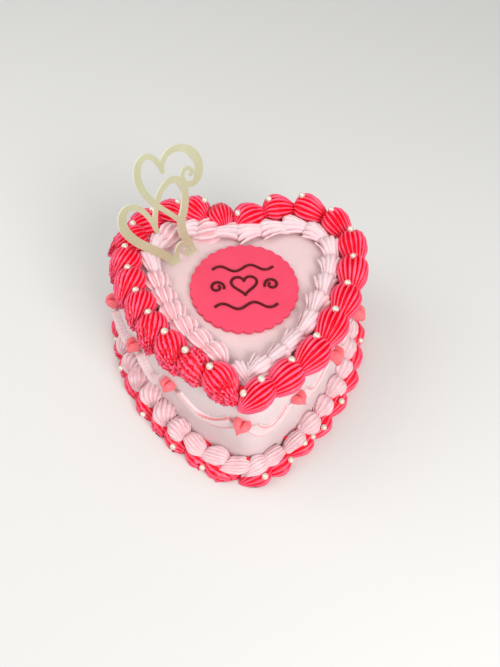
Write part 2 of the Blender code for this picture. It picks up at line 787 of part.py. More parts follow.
# The foot's hot pink border, and the pale one that lies on it against the wall.
foot_shells = piped_row("foot shell", FOOT_ROW)
foot_centres = pearl_centres(foot_pearl_places(), foot_shells)
foot_border = joined("foot_border", foot_shells + sugar_pearls("foot pearl", foot_centres))
cut_away(foot_border, [wall_room, below])
thinned(foot_border, FOOT_TRIANGLES)
finish_part(foot_border, hot_icing)
foot_room_shells = piped_row("foot room shell", FOOT_ROW, grow=CUT_CLEARANCE)
foot_room_pearls = sugar_pearls("foot room pearl", foot_centres, CUT_CLEARANCE)
foot_room = as_cutter(joined("foot room", foot_room_shells + foot_room_pearls))
upper_foot_border = joined("upper_foot_border", piped_row("upper foot shell", UPPER_FOOT_ROW))
cut_away(upper_foot_border, [wall_room, foot_room])
thinned(upper_foot_border, UPPER_FOOT_TRIANGLES)
finish_part(upper_foot_border, pale_icing)

# The piped hearts on the wall, clockwise from the notch.
heart_stops = [(distance * MM, 1, height * MM) for distance, height in HEARTS_RIGHT]
heart_stops += [(distance * MM, -1, height * MM) for distance, height in reversed(HEARTS_LEFT)]
for number, (distance, side, height) in enumerate(heart_stops):
    piped_heart(f"wall_heart_{number + 1:02d}", distance, side, height)

# A swag hangs from each heart to the next, all the way round.
whole_wall = 2 * half_length(WALL)
round_stops = []
for distance, side, height in heart_stops:
    round_stops.append((distance if side > 0 else whole_wall - distance, height))
round_stops.append((round_stops[0][0] + whole_wall, round_stops[0][1]))
for number, (stop, next_stop) in enumerate(zip(round_stops, round_stops[1:])):
    swag(f"swag_{number + 1:02d}", stop[0], next_stop[0], stop[1], next_stop[1])

# The disc of fondant with its piped flourish.
disc_outline = scalloped_outline(PLAQUE_RADIUS, PLAQUE_SCALLOPS, PLAQUE_SCALLOP_DEPTH)
disc = flat_plate("disc", [disc_outline], PLAQUE_THICKNESS, PARTS)
disc.data.transform(Matrix.Translation(PLAQUE_CENTRE + Vector((0, 0, CAKE_HEIGHT + CLEARANCE))))
plaque = joined("plaque", [disc] + plaque_flourish())
thinned(plaque, PLAQUE_TRIANGLES)
finish_part(plaque, fondant)

# The cut-out of two open hearts, pushed into the top.
topper = topper_plate()
thinned(topper, TOPPER_TRIANGLES)
finish_part(topper, gold_acrylic)

# The cake itself, with the slots that hold the cut-out.
cake = flat_plate("cake", [heart_polygon(WALL)], CAKE_HEIGHT, PARTS)
cut_away(cake, topper_slots())
finish_part(cake, body_icing)
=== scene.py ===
import math
import random
from collections import namedtuple

import bmesh
import bpy
from mathutils import Matrix, Vector


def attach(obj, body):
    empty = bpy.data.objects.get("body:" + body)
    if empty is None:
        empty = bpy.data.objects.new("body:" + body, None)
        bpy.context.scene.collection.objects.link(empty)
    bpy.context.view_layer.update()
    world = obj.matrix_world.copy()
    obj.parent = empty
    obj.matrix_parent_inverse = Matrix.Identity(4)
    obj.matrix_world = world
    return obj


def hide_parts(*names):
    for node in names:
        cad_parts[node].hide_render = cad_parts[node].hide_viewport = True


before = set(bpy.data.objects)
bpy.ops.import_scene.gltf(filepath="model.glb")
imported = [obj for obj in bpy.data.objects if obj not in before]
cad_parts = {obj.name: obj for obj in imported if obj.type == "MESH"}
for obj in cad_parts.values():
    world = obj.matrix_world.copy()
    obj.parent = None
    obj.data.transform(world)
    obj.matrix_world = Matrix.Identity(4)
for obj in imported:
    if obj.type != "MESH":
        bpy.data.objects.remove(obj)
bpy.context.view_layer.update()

MM = 0.001

# The cake under its piping: sponge and filling from a heart shaped tin, spread all over with blush pink
# buttercream and scraped smooth, so that its wall and top keep faint marks of the scraper.
CAKE_HEIGHT = 76 * MM
EDGE_RADIUS = 2.5 * MM
FOOT_FLARE = 8 * MM
FOOT_FLARE_HEIGHT = 22 * MM
WALL_STEPS = 300
WALL_ROWS = 30
TOP_RINGS = 26
# How much of the darker, pinker shade colour the top takes: painted shade and pink light bounced from the
# borders.
TOP_PAINTED_SHADE = 0.28
EDGE_STEPS = 5
MARKS_FROM = 6 * MM
RIM_FROM = 75 * MM
RIM_TO = 75.7 * MM
MARKS_ON_TOP = 0.25

# A heart seen from above: a round lobe, a long side that runs to the point, and a fillet at the point.
Outline = namedtuple("Outline", "lobe_x lobe_y lobe_radius side_radius point_y point_radius")
WALL_OUTLINE = Outline(35.8 * MM, 19.6 * MM, 45.3 * MM, 176 * MM, -84.6 * MM, 14 * MM)

# A path round the cake: how far outside its outline it runs, and the radius of its bend at the notch.
HeartPath = namedtuple("HeartPath", "outline offset notch_radius")
WALL = HeartPath(WALL_OUTLINE, 0, 6 * MM)


def heart_arcs(path):
    """The arcs of a heart's right half as (centre, radius, start angle, end angle), from notch to point."""
    heart = path.outline
    lobe = Vector((heart.lobe_x, heart.lobe_y))
    point = Vector((0, heart.point_y))
    apart = (point - lobe).length
    inner = heart.side_radius - heart.lobe_radius
    along = (inner**2 - heart.side_radius**2 + apart**2) / (2 * apart)
    across = math.sqrt(inner**2 - along**2)
    towards = (point - lobe) / apart
    side = lobe + along * towards + across * Vector((towards.y, -towards.x))
    lobe_radius = heart.lobe_radius + path.offset
    side_radius = heart.side_radius + path.offset
    point_radius = max(heart.point_radius + path.offset, 3 * MM)
    notch = Vector((0, lobe.y + math.sqrt((lobe_radius + path.notch_radius) ** 2 - lobe.x**2)))
    fillet = Vector((0, side.y - math.sqrt((side_radius - point_radius) ** 2 - side.x**2)))
    down = -math.pi / 2
    to_lobe = lobe - notch
    notch_end = math.atan2(to_lobe.y, to_lobe.x)
    meeting = lobe - side
    lobe_end = math.atan2(meeting.y, meeting.x)
    closing = fillet - side
    side_end = math.atan2(closing.y, closing.x)
    return [
        (notch, path.notch_radius, down, notch_end),
        (lobe, lobe_radius, notch_end + math.pi, lobe_end),
        (side, side_radius, lobe_end, side_end),
        (fillet, point_radius, side_end, down),
    ]


def half_length(path):
    return sum(radius * abs(end - start) for _, radius, start, end in heart_arcs(path))


def on_outline(path, distance, side):
    """The point at a distance from the notch along one half, and the heading there, towards the point."""
    arcs = heart_arcs(path)
    left_over = min(max(distance, 0), half_length(path))
    for arc in arcs:
        centre, radius, start, end = arc
        length = radius * abs(end - start)
        if left_over <= length or arc is arcs[-1]:
            break
        left_over -= length
    turning = 1 if end > start else -1
    angle = start + turning * left_over / radius
    place = centre + radius * Vector((math.cos(angle), math.sin(angle)))
    heading = angle + turning * math.pi / 2
    if side < 0:
        return Vector((-place.x, place.y)), math.pi - heading
    return place, heading


def outward(heading, side):
    angle = heading + side * math.pi / 2
    return Vector((math.cos(angle), math.sin(angle)))


def round_the_heart(path, distance):
    """The point at a distance clockwise from the notch, and the direction away from the cake there."""
    half = half_length(path)
    distance %= 2 * half
    side = 1 if distance <= half else -1
    place, heading = on_outline(path, min(distance, 2 * half - distance), side)
    return place, outward(heading, side)


def add_object(name, data):
    obj = bpy.data.objects.new(name, data)
    bpy.context.scene.collection.objects.link(obj)
    return obj


def add_mesh(name, verts, faces=(), edges=()):
    mesh = bpy.data.meshes.new(name)
    mesh.from_pydata([tuple(vert) for vert in verts], edges, faces)
    mesh.validate()
    return add_object(name, mesh)


def add_solid(name, verts, faces, weld=0.0):
    """A mesh whose faces all look outwards. Points nearer to each other than the weld become one."""
    solid = add_mesh(name, verts, faces)
    bm = bmesh.new()
    bm.from_mesh(solid.data)
    if weld:
        bmesh.ops.remove_doubles(bm, verts=bm.verts, dist=weld)
    bmesh.ops.recalc_face_normals(bm, faces=bm.faces)
    bm.to_mesh(solid.data)
    bm.free()
    return solid


def mark(obj, name, values, kind="FLOAT", field="value"):
    """Gives each point of a mesh a value of its own, for the node trees to read."""
    obj.data.attributes.new(name, kind, "POINT").data.foreach_set(field, values)


def ring_faces(first, sides, rings):
    """The faces between closed rings of points that follow each other."""
    faces = []
    for ring in range(rings - 1):
        low = first + ring * sides
        for side in range(sides):
            after = (side + 1) % sides
            faces.append((low + side, low + after, low + sides + after, low + sides + side))
    return faces


def fan_faces(centre, first, sides):
    """The faces between a closed ring of points and the point in its middle."""
    return [(centre, first + (side + 1) % sides, first + side) for side in range(sides)]


def rounded_edge(top, radius):
    """The height and the inset of each ring of points that rounds a top edge."""
    bends = [math.radians(90 * step / EDGE_STEPS) for step in range(1, EDGE_STEPS + 1)]
    return [(top - radius * (1 - math.sin(bend)), radius * (1 - math.cos(bend))) for bend in bends]


def feed(tree, made, inputs):
    """Fills a node's inputs, each with a value or with the socket that feeds it."""
    for key, value in inputs.items():
        if isinstance(value, bpy.types.NodeSocket):
            tree.links.new(value, made.inputs[key])
        else:
            made.inputs[key].default_value = value


def node(tree, kind, inputs=None, **settings):
    """Adds a node with its settings and inputs."""
    made = tree.nodes.new(kind)
    for key, value in settings.items():
        setattr(made, key, value)
    feed(tree, made, inputs or {})
    return made


def wire(tree, kind, inputs=None, **settings):
    """Adds a node and gives its first output."""
    return node(tree, kind, inputs, **settings).outputs[0]


def maths(tree, operation, *values):
    return node(tree, "ShaderNodeMath", dict(enumerate(values)), operation=operation).outputs[0]


def ranged(tree, value, low, high, start=0.0, stop=1.0, **settings):
    """Turns a value between start and stop into one between low and high."""
    inputs = {0: value, 1: start, 2: stop, 3: low, 4: high}
    return wire(tree, "ShaderNodeMapRange", inputs, **settings)


def noise(tree, place, scale, detail):
    return wire(tree, "ShaderNodeTexNoise", {"Vector": place, "Scale": scale, "Detail": detail})


def position(tree):
    return wire(tree, "GeometryNodeInputPosition")


def shape_tree(name, sizes):
    """An empty Geometry Nodes tree with named inputs: sizes, and objects where no value is given."""
    tree = bpy.data.node_groups.new(name, "GeometryNodeTree")
    tree.interface.new_socket("Geometry", in_out="INPUT", socket_type="NodeSocketGeometry")
    for label, value in sizes.items():
        kind = "NodeSocketObject" if value is None else "NodeSocketFloat"
        socket = tree.interface.new_socket(label, in_out="INPUT", socket_type=kind)
        if value is not None:
            socket.default_value = value
    tree.interface.new_socket("Geometry", in_out="OUTPUT", socket_type="NodeSocketGeometry")
    return tree, node(tree, "NodeGroupInput").outputs


def finish_tree(tree, shape, finish):
    """Ends a tree: realized, shaded smooth and given its material."""
    whole = wire(tree, "GeometryNodeRealizeInstances", {"Geometry": shape})
    smooth = wire(tree, "GeometryNodeSetShadeSmooth", {"Geometry": whole})
    dressed = wire(tree, "GeometryNodeSetMaterial", {"Geometry": smooth, "Material": finish})
    node(tree, "NodeGroupOutput", {"Geometry": dressed})


def grown(obj, tree, sizes=None):
    """Runs a tree on an object and keeps the result as the object's plain mesh."""
    step = obj.modifiers.new(tree.name, "NODES")
    step.node_group = tree
    for socket in tree.interface.items_tree:
        if socket.in_out == "INPUT" and socket.name in (sizes or {}):
            step[socket.identifier] = sizes[socket.name]
    bpy.context.view_layer.update()
    graph = bpy.context.evaluated_depsgraph_get()
    shaped = obj.evaluated_get(graph)
    mesh = bpy.data.meshes.new_from_object(shaped, preserve_all_data_layers=True, depsgraph=graph)
    name = obj.name
    bpy.data.objects.remove(obj, do_unlink=True)
    mesh.name = name
    return add_object(name, mesh)


def pushed_out(tree, shape, depth):
    """Moves each point of a shape along its normal."""
    normal = wire(tree, "GeometryNodeInputNormal")
    push = wire(tree, "ShaderNodeVectorMath", {0: normal, "Scale": depth}, operation="SCALE")
    return wire(tree, "GeometryNodeSetPosition", {"Geometry": shape, "Offset": push})


def noise_push(tree, shape, seed, scale, depth, stretch=(1, 1, 1), share=None):
    """Moves a surface by noise, half the depth in and half of it out at the most, or a share of that."""
    spread = node(tree, "ShaderNodeVectorMath", {0: position(tree), 1: stretch}, operation="MULTIPLY")
    waves = node(tree, "ShaderNodeTexNoise",
                 {"Vector": spread.outputs[0], "W": seed, "Scale": scale, "Detail": 2.0},
                 noise_dimensions="4D").outputs[0]
    deep = maths(tree, "MULTIPLY", maths(tree, "SUBTRACT", waves, 0.5), depth)
    if share is not None:
        deep = maths(tree, "MULTIPLY", deep, share)
    return pushed_out(tree, shape, deep)


def new_finish(name):
    """A new material with its tree, its shader, and the place on the object that its textures go by."""
    made = bpy.data.materials.new(name)
    made.use_nodes = True
    tree = made.node_tree
    return made, tree, tree.nodes["Principled BSDF"], node(tree, "ShaderNodeTexCoord").outputs["Object"]


def bump(tree, height, strength, distance):
    inputs = {"Height": height, "Strength": strength, "Distance": distance}
    return wire(tree, "ShaderNodeBump", inputs)


def buttercream(name, crest, shade_colour, softness, bubbling):
    """Icing whose own crest colour turns darker and redder where its points are marked: painted shade and
    red light bounced inside grooves and hollows. Faintly mottled, with tiny bubbles.
    """
    made, tree, shader, place = new_finish(name)
    # The mark says how much painted shade, the darker and redder shade colour, replaces the icing's own
    # crest colour.
    painted_shade_mask = node(tree, "ShaderNodeAttribute", attribute_name="groove").outputs["Fac"]
    deep = ranged(tree, painted_shade_mask, 0.0, 1.0, 0.1, 0.6, interpolation_type="SMOOTHSTEP")
    body = node(tree, "ShaderNodeMix", {0: deep, 6: (*crest, 1), 7: (*shade_colour, 1)}, data_type="RGBA")
    tint = {"Value": ranged(tree, noise(tree, place, 90.0, 3.0), 0.93, 1.06), "Color": body.outputs[2]}
    feed(tree, shader, {
        "Base Color": wire(tree, "ShaderNodeHueSaturation", tint),
        "Roughness": ranged(tree, noise(tree, place, 300.0, 2.0), softness - 0.07, softness + 0.1),
        "Normal": bump(tree, noise(tree, place, 1100.0, 2.0), bubbling, 0.3 * MM),
        "IOR": 1.38, "Subsurface Weight": 0.15, "Subsurface Radius": (1.0, 0.45, 0.4),
        "Subsurface Scale": 0.8 * MM,
    })
    return made


body_icing = buttercream("blush buttercream", (0.77, 0.625, 0.635), (0.72, 0.45, 0.45), 0.42, 0.10)

around = []
for step in range(WALL_STEPS):
    around.append(round_the_heart(WALL, 2 * half_length(WALL) * step / WALL_STEPS))
levels = [(row / WALL_ROWS * (CAKE_HEIGHT - EDGE_RADIUS), 0) for row in range(WALL_ROWS + 1)]
coat_verts = []
for height, inset in levels + rounded_edge(CAKE_HEIGHT, EDGE_RADIUS):
    flare = FOOT_FLARE * max(0, 1 - height / FOOT_FLARE_HEIGHT) ** 2
    for place, away in around:
        edge = place + (flare - inset) * away
        coat_verts.append((edge.x, edge.y, height))
for ring in range(1, TOP_RINGS):
    share = 1 - ring / TOP_RINGS
    for place, away in around:
        edge = (place - EDGE_RADIUS * away) * share
        coat_verts.append((edge.x, edge.y, CAKE_HEIGHT))
coat_faces = ring_faces(0, WALL_STEPS, len(coat_verts) // WALL_STEPS)
coat_faces += fan_faces(len(coat_verts), len(coat_verts) - WALL_STEPS, WALL_STEPS)
coat_faces.append(tuple(range(WALL_STEPS)))
coat_verts.append((0, 0, CAKE_HEIGHT))
coat = add_solid("spread_icing", coat_verts, coat_faces)
# The top's points take a share of the icing's shade colour: painted shade and pink light bounced from the
# borders round it.
mark(coat, "groove", [TOP_PAINTED_SHADE if height > CAKE_HEIGHT - 0.1 * MM else 0.0 for _, _, height in coat_verts])

tree, size = shape_tree("Spread icing", {
    "Seed": 2.0, "Mark scale": 16.0, "Mark depth": 0.0016,
})
height = node(tree, "ShaderNodeSeparateXYZ", {0: position(tree)}).outputs[2]
off_floor = ranged(tree, height, 0.0, 1.0, 0.0, MARKS_FROM)
under_top = ranged(tree, height, 1.0, MARKS_ON_TOP, RIM_FROM, RIM_TO)
marked = noise_push(tree, size["Geometry"], size["Seed"], size["Mark scale"], size["Mark depth"],
                    stretch=(1, 1, 2.5), share=maths(tree, "MULTIPLY", off_floor, under_top))
finish_tree(tree, marked, body_icing)
coat = grown(coat, tree)
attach(coat, "root")
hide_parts("cake")

# The borders: buttercream piped through an open star tip into overlapping shells, a full ridged head
# that is drawn down to a thin tail. The hot pink row rides over the top edge with a pale row inside it.
# The left half was piped from an awkward side, so its tails swing out and its ridges tore.

# A row of shells: its path, the point that the path is centred on, how many shells each half has, how
# far the tails on the left are turned outwards, and one shell's size, with its axis at its lift.
Row = namedtuple("Row", "path centre right_count left_count left_turn seed length width height lift")
PIPED_OUTLINE = Outline(33 * MM, 21.5 * MM, 42 * MM, 135 * MM, -85.2 * MM, 14 * MM)
ROW_TURN = math.radians(-1.5)
RIDGE_STEPS = 8
HIDDEN_RIDGE_STEPS = 2

# How unevenly the hand pipes a row: degrees of turn, lean and nod, millimetres aside, share of size.
HAND_TURN = 5
HAND_LEAN = 6
HAND_NOD = 3
HAND_SHIFT = 0.6
HAND_SIZE = 0.05
TOP_ROW = Row(
    HeartPath(PIPED_OUTLINE, -2.5 * MM, 10 * MM), Vector((0.5 * MM, 4.5 * MM, CAKE_HEIGHT)),
    11, 12, math.radians(36), 3, 28 * MM, 19.4 * MM, 16 * MM, 5 * MM,
)
INNER_ROW = Row(
    HeartPath(PIPED_OUTLINE, -18 * MM, 130 * MM), Vector((1.5 * MM, 3.5 * MM, CAKE_HEIGHT)),
    12, 13, math.radians(-12), 5, 21 * MM, 17.5 * MM, 10 * MM, 2 * MM,
)


def add_shell(name, verts, faces, shade_marks, edges):
    """A shell whose points carry how much painted shade their colour takes, deepest in the grooves of a
    ridged shell and under the strands of a feather, and how torn the icing is there.
    """
    shell = add_solid(name, verts, faces)
    mark(shell, "groove", shade_marks)
    mark(shell, "torn", edges)
    return shell


def ridged_shell(name, row, ridges, groove, neck, twist=0.0, bend=0.0, lobes=0.0, torn=0.1, rough=0.0,
                 sections=28):
    """One piped shell along X with its head at -X, its ridges running from the head to the tail."""
    angles = []
    for ridge in range(ridges):
        crest = math.pi / 2 + 2 * math.pi * ridge / ridges
        steps = RIDGE_STEPS if math.sin(crest) > -0.35 else HIDDEN_RIDGE_STEPS
        for step in range(steps):
            share = step / steps - 0.5
            angles.append((crest + share * 2 * math.pi / ridges, share))
    verts = [Vector((-0.5 * row.length, 0, 0.35 * row.lift))]
    shade_marks = [0.0]
    edges = [0.0]
    for section in range(1, sections):
        turned = math.pi * section / sections
        from_head = (1 - math.cos(turned)) / 2
        girth = 1.06 * math.sin(math.pi * from_head**neck) ** 0.8
        fade = min(1, from_head / 0.03) * min(1, (1 - from_head) / 0.08)
        drop = min(1, 0.35 + from_head / 0.2)
        axis = row.lift * (1 - from_head**2) * drop
        swing = bend * row.width * max(0, from_head - 0.3) ** 2
        for angle, share in angles:
            depth = (1 - abs(math.cos(math.pi * share)) ** 1.9) * fade
            reach = girth * (1 - groove * depth)
            sweep = angle + twist * (from_head - 0.4)
            forward = lobes * (1 - depth) * max(0, 1 - 2.5 * from_head)
            verts.append(Vector((
                (from_head - 0.5 - forward) * row.length,
                row.width / 2 * reach * math.cos(sweep) - swing,
                axis + (row.height - row.lift) * reach * math.sin(sweep),
            )))
            # How deep a point lies in a groove is also how much painted shade its colour takes.
            shade_marks.append(depth)
            outer = 0.5 - 0.5 * math.cos(sweep)
            edges.append(max(rough, torn * min(1, 0.05 + 2.4 * (from_head * outer) ** 1.5)))
    verts.append(Vector((0.5 * row.length, -bend * row.width * 0.49, 0)))
    shade_marks.append(0.0)
    edges.append(torn)
    count = len(angles)
    faces = fan_faces(0, 1, count) + ring_faces(1, count, sections - 1)
    faces += fan_faces(len(verts) - 1, len(verts) - 1 - count, count)
    return add_shell(name, verts, faces, shade_marks, edges)


def feather_shell(name, row, strands):
    """A shell whose ridges came apart: strands that run together in the tail and stand free at the head.
    Each strand is (how far aside at the head, thickness, how far it reaches back, how high it stands)."""
    stations = 18
    sides = 14
    verts = []
    faces = []
    shade_marks = []
    for aside, thickness, back, rise in strands:
        first = len(verts)
        for station in range(stations + 1):
            s = station / stations
            x = (0.5 - s * back) * row.length
            y = aside * row.width / 2 * (0.4 + 0.6 * s**2)
            z = 0.8 * row.height * rise * math.sin(math.pi * min(1, 0.1 + 0.62 * s)) ** 0.9
            fat = thickness * (0.6 + 0.45 * s) * (1.01 - s**12) ** 0.5 * min(1, 0.1 + s / 0.12) ** 0.5
            for side in range(sides):
                angle = 2 * math.pi * side / sides
                verts.append(Vector((x, y + fat * math.cos(angle), z + 1.5 * fat * math.sin(angle))))
                # The lower side of each strand is painted darker as shade.
                shade_marks.append(((1 - math.sin(angle)) / 2) ** 1.4)
        faces += ring_faces(first, sides, stations + 1)
        faces.append(tuple(reversed(range(first, first + sides))))
        faces.append(tuple(range(len(verts) - sides, len(verts))))
    return add_shell(name, verts, faces, shade_marks, [0.12] * len(verts))


def on_row(row, place):
    """A place in a row's own plane, brought to where the row lies on the cake."""
    return Matrix.Translation(row.centre) @ Matrix.Rotation(ROW_TURN, 4, "Z") @ place.to_3d()


def shell_heading(path, distance, side):
    """A shell doesn't bend, so at the notch and the point it keeps straight on."""
    arcs = heart_arcs(path)
    lengths = [radius * abs(end - start) for _, radius, start, end in arcs]
    first = min(lengths[0], 12 * MM)
    last = half_length(path) - lengths[-1]
    return on_outline(path, min(max(distance, first), last), side)[1]


def row_points(name, row, odd_ones):
    """A point for each shell of a row, with how it is turned, its size, and which shell lies there.
    The halves take shells of their own. An odd one, (side, number), has its own (shell, extra turn,
    how much further along and further out it lies in millimetres, size)."""
    draw = random.Random(row.seed)
    own = random.Random(row.seed + 100)
    half = half_length(row.path)
    places = []
    turns = []
    sizes = []
    kinds = []
    for side, count in ((-1, row.left_count), (1, row.right_count)):
        for i in range(count):
            if side > 0:
                distance = half * min(i + 0.5, count - 0.75) / (count - 0.5)
            else:
                distance = half * (i + 0.8) / (count + 0.8)
            size = draw.uniform(1 - HAND_SIZE, 1 + HAND_SIZE)
            turn = math.radians(draw.uniform(-HAND_TURN, HAND_TURN))
            shift = draw.uniform(-HAND_SHIFT, HAND_SHIFT) * MM
            kind = own.choice((0, 2)) if side > 0 else own.choice((1, 3))
            if side < 0:
                straighter = 1 - 0.8 * max(0, i / count - 0.55) / 0.45
                turn -= (row.left_turn + math.radians(own.uniform(-HAND_TURN, HAND_TURN))) * straighter
            if (side, i) in odd_ones:
                kind, extra, further, out, scale = odd_ones[side, i]
                turn += math.radians(extra)
                distance += further * MM
                shift += out * MM
                size *= scale
            place, _ = on_outline(row.path, distance, side)
            heading = shell_heading(row.path, distance, side)
            place += shift * outward(heading, side)
            places.append(on_row(row, place))
            lean = math.radians(own.uniform(-HAND_LEAN, HAND_LEAN))
            nod = math.radians(own.uniform(-HAND_NOD, HAND_NOD))
            turns.append((lean, nod, heading + turn + ROW_TURN))
            sizes.append(size)
            kinds.append(kind)
    points = add_mesh(name, places)
    mark(points, "turned", [v for turn in turns for v in turn], "FLOAT_VECTOR", "vector")
    mark(points, "size", sizes)
    mark(points, "kind", kinds, "INT")
    return points


SHELL_KINDS = ("Right", "Left", "Other right", "Other left", "Odd one", "Rough one")


def named(tree, name, kind="FLOAT"):
    """The value under a name that each point carries."""
    return wire(tree, "GeometryNodeInputNamedAttribute", {"Name": name}, data_type=kind)


def kept_above(tree, shape, place, lowest):
    """Puts a shape's points at a place, but none of them lower than a level."""
    axes = node(tree, "ShaderNodeSeparateXYZ", {0: place}).outputs
    lifted = {0: axes[0], 1: axes[1], 2: maths(tree, "MAXIMUM", axes[2], lowest)}
    settled = wire(tree, "ShaderNodeCombineXYZ", lifted)
    return wire(tree, "GeometryNodeSetPosition", {"Geometry": shape, "Position": settled})


def piped_tree(finish):
    """Sets shells on a row's points, makes them uneven, and tears the icing where it is marked as torn."""
    tree, size = shape_tree("Piped row", {
        **dict.fromkeys(SHELL_KINDS), "Seed": 0.0, "Unevenness": 0.0022, "Tearing": 0.009,
        "Tear scale": 800.0, "Lowest": 0.0,
    })
    kinds = node(tree, "GeometryNodeJoinGeometry")
    for label in reversed(SHELL_KINDS):
        shell = node(tree, "GeometryNodeObjectInfo", {"Object": size[label]}).outputs["Geometry"]
        single = wire(tree, "GeometryNodeGeometryToInstance", {"Geometry": shell})
        tree.links.new(single, kinds.inputs[0])
    turned = {0: named(tree, "turned", "FLOAT_VECTOR")}
    shells = wire(tree, "GeometryNodeInstanceOnPoints", {
        "Points": size["Geometry"], "Instance": kinds.outputs[0], "Pick Instance": True,
        "Instance Index": named(tree, "kind", "INT"), "Scale": named(tree, "size"),
        "Rotation": node(tree, "FunctionNodeEulerToRotation", turned).outputs[0],
    })
    real = wire(tree, "GeometryNodeRealizeInstances", {"Geometry": shells})
    uneven = noise_push(tree, real, size["Seed"], 110.0, size["Unevenness"])
    rough = noise_push(tree, uneven, size["Seed"], size["Tear scale"], size["Tearing"],
                       share=named(tree, "torn"))
    finish_tree(tree, kept_above(tree, rough, position(tree), size["Lowest"]), finish)
    return tree


def piped_border(name, row, finish, shells, odd_ones=None, **sizes):
    values = dict(zip(SHELL_KINDS, shells))
    values["Seed"] = float(row.seed)
    values.update(sizes)
    border = grown(row_points(name, row, odd_ones or {}), piped_tree(finish), values)
    for shell in shells:
        bpy.data.objects.remove(shell, do_unlink=True)
    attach(border, "root")
    return border


hot_icing = buttercream("hot pink buttercream", (0.94, 0.118, 0.225), (0.90, 0.0, 0.018), 0.34, 0.12)
odd_top_shells = {(-1, i): (1, 0, 0, 0, 1) for i in range(8)}
odd_top_shells.update({(-1, i): (3, 0, 0, 8 - i, 1) for i in range(8, TOP_ROW.left_count)})
odd_top_shells[-1, 10] = (5, 10, 0, -1.5, 0.95)
odd_top_shells[1, TOP_ROW.right_count - 1] = (4, 0, 0, 0, 0.95)
TOP_OVERHANG = 6.4 * MM
SLIM_TOP_ROW = TOP_ROW._replace(width=18.6 * MM)
top_shells = piped_border("top_shells", TOP_ROW, hot_icing, [
    ridged_shell("crisp shell", SLIM_TOP_ROW, 18, 0.24, 0.68, twist=-0.1, torn=0.06),
    ridged_shell("torn shell", TOP_ROW, 20, 0.22, 0.8, twist=0.3, bend=0.35, torn=0.6),
    ridged_shell("leaning shell", SLIM_TOP_ROW, 18, 0.25, 0.72, twist=0.12, bend=-0.08, torn=0.1),
    ridged_shell("crumbled shell", TOP_ROW, 20, 0.19, 0.9, twist=0.15, bend=0.2, torn=0.9, sections=44),
    ridged_shell("blunt shell", TOP_ROW._replace(width=16.8 * MM), 18, 0.25, 1.0, twist=0.1, torn=0.12),
    ridged_shell("rough shell", TOP_ROW._replace(width=18.5 * MM), 16, 0.1, 0.85, twist=0.3, rough=0.9,
                 sections=44),
], odd_ones=odd_top_shells, Lowest=CAKE_HEIGHT - TOP_OVERHANG)
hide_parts("top_border")

pale_icing = buttercream("pale pink buttercream", (0.83, 0.64, 0.67), (0.80, 0.45, 0.48), 0.38, 0.12)
turned_fans = {(-1, i): (4, 166, 0, 0, 1) for i in range(6, 12)}
turned_fans.update({(-1, i): (2 * (i // 2 % 2), -6, 0, 0, 1) for i in (0, 2, 4, 5)})
turned_fans[-1, 12] = (2, -38, 11, 2, 0.9)
turned_fans.update({(1, i): (2 * (i % 2), 0, 0, 0.8, 1) for i in range(2, INNER_ROW.right_count)})
inner_shells = piped_border("inner_shells", INNER_ROW, pale_icing, [
    feather_shell("feather", INNER_ROW, (
        (-1.0, 0.001, 0.95, 0.5), (-0.58, 0.0021, 1.0, 0.62), (-0.16, 0.0024, 1.04, 0.8),
        (0.26, 0.0024, 1.03, 0.82), (0.68, 0.0022, 0.95, 0.62),
    )),
    ridged_shell("soft fan", INNER_ROW, 12, 0.2, 0.7, twist=0.2, bend=0.1, lobes=0.07, torn=0.35),
    feather_shell("split feather", INNER_ROW, (
        (-1.08, 0.0009, 0.88, 0.55), (-0.7, 0.0019, 0.97, 0.55), (-0.32, 0.0022, 1.03, 0.75),
        (0.08, 0.0024, 1.05, 0.84), (0.48, 0.0022, 0.98, 0.7), (0.84, 0.0017, 0.88, 0.5),
    )),
    ridged_shell("blunt fan", INNER_ROW, 10, 0.24, 0.78, twist=-0.2, lobes=0.1, torn=0.45),
    ridged_shell("turned fan", INNER_ROW, 12, 0.24, 0.85, twist=0.1, bend=-0.15, lobes=0.1, torn=0.4),
], odd_ones=turned_fans, Unevenness=0.003, Lowest=CAKE_HEIGHT - 1 * MM)
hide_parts("inner_border")

# The foot's borders: a hot pink row of shells round the foot, pressed and torn a little as it was piped,
# and a softer pale row laid on it against the wall, its left shells with their heads to the front.
FOOT_ROW = Row(
    HeartPath(PIPED_OUTLINE, 8.2 * MM, 2 * MM), Vector((0, 0, 0)),
    14, 15, math.radians(8), 7, 26 * MM, 20 * MM, 13 * MM, 3.5 * MM,
)
UPPER_FOOT_ROW = Row(
    HeartPath(PIPED_OUTLINE, 6.8 * MM, 2 * MM), Vector((0, 0, 8 * MM)),
    16, 17, math.radians(34), 11, 22 * MM, 15 * MM, 13 * MM, 4.5 * MM,
)
foot_shells = piped_border("foot_shells", FOOT_ROW, hot_icing, [
    ridged_shell("foot shell", FOOT_ROW, 14, 0.2, 0.7, twist=0.15, torn=0.3),
    ridged_shell("torn foot shell", FOOT_ROW, 14, 0.16, 0.72, twist=0.3, bend=0.1, torn=0.6),
    ridged_shell("other foot shell", FOOT_ROW, 14, 0.2, 0.8, twist=-0.1, bend=-0.1, torn=0.4),
    ridged_shell("pressed foot shell", FOOT_ROW, 14, 0.16, 0.85, twist=0.1, bend=0.2, torn=0.7),
], Lowest=0.02 * MM)
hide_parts("foot_border")
soft_icing = buttercream("soft pale buttercream", (0.82, 0.62, 0.645), (0.81, 0.50, 0.53), 0.42, 0.12)
PRESSED_ROW = UPPER_FOOT_ROW._replace(width=17.5 * MM, height=12 * MM)
SWUNG_ROW = UPPER_FOOT_ROW._replace(width=16.5 * MM)
odd_foot_shells = {(1, i): (2 * (i % 2), 0, 0, -1.4, 0.88) for i in range(3, 13)}
for i in range(13, UPPER_FOOT_ROW.right_count):
    odd_foot_shells[1, i] = (4, 0, 0, 0.8, 1)
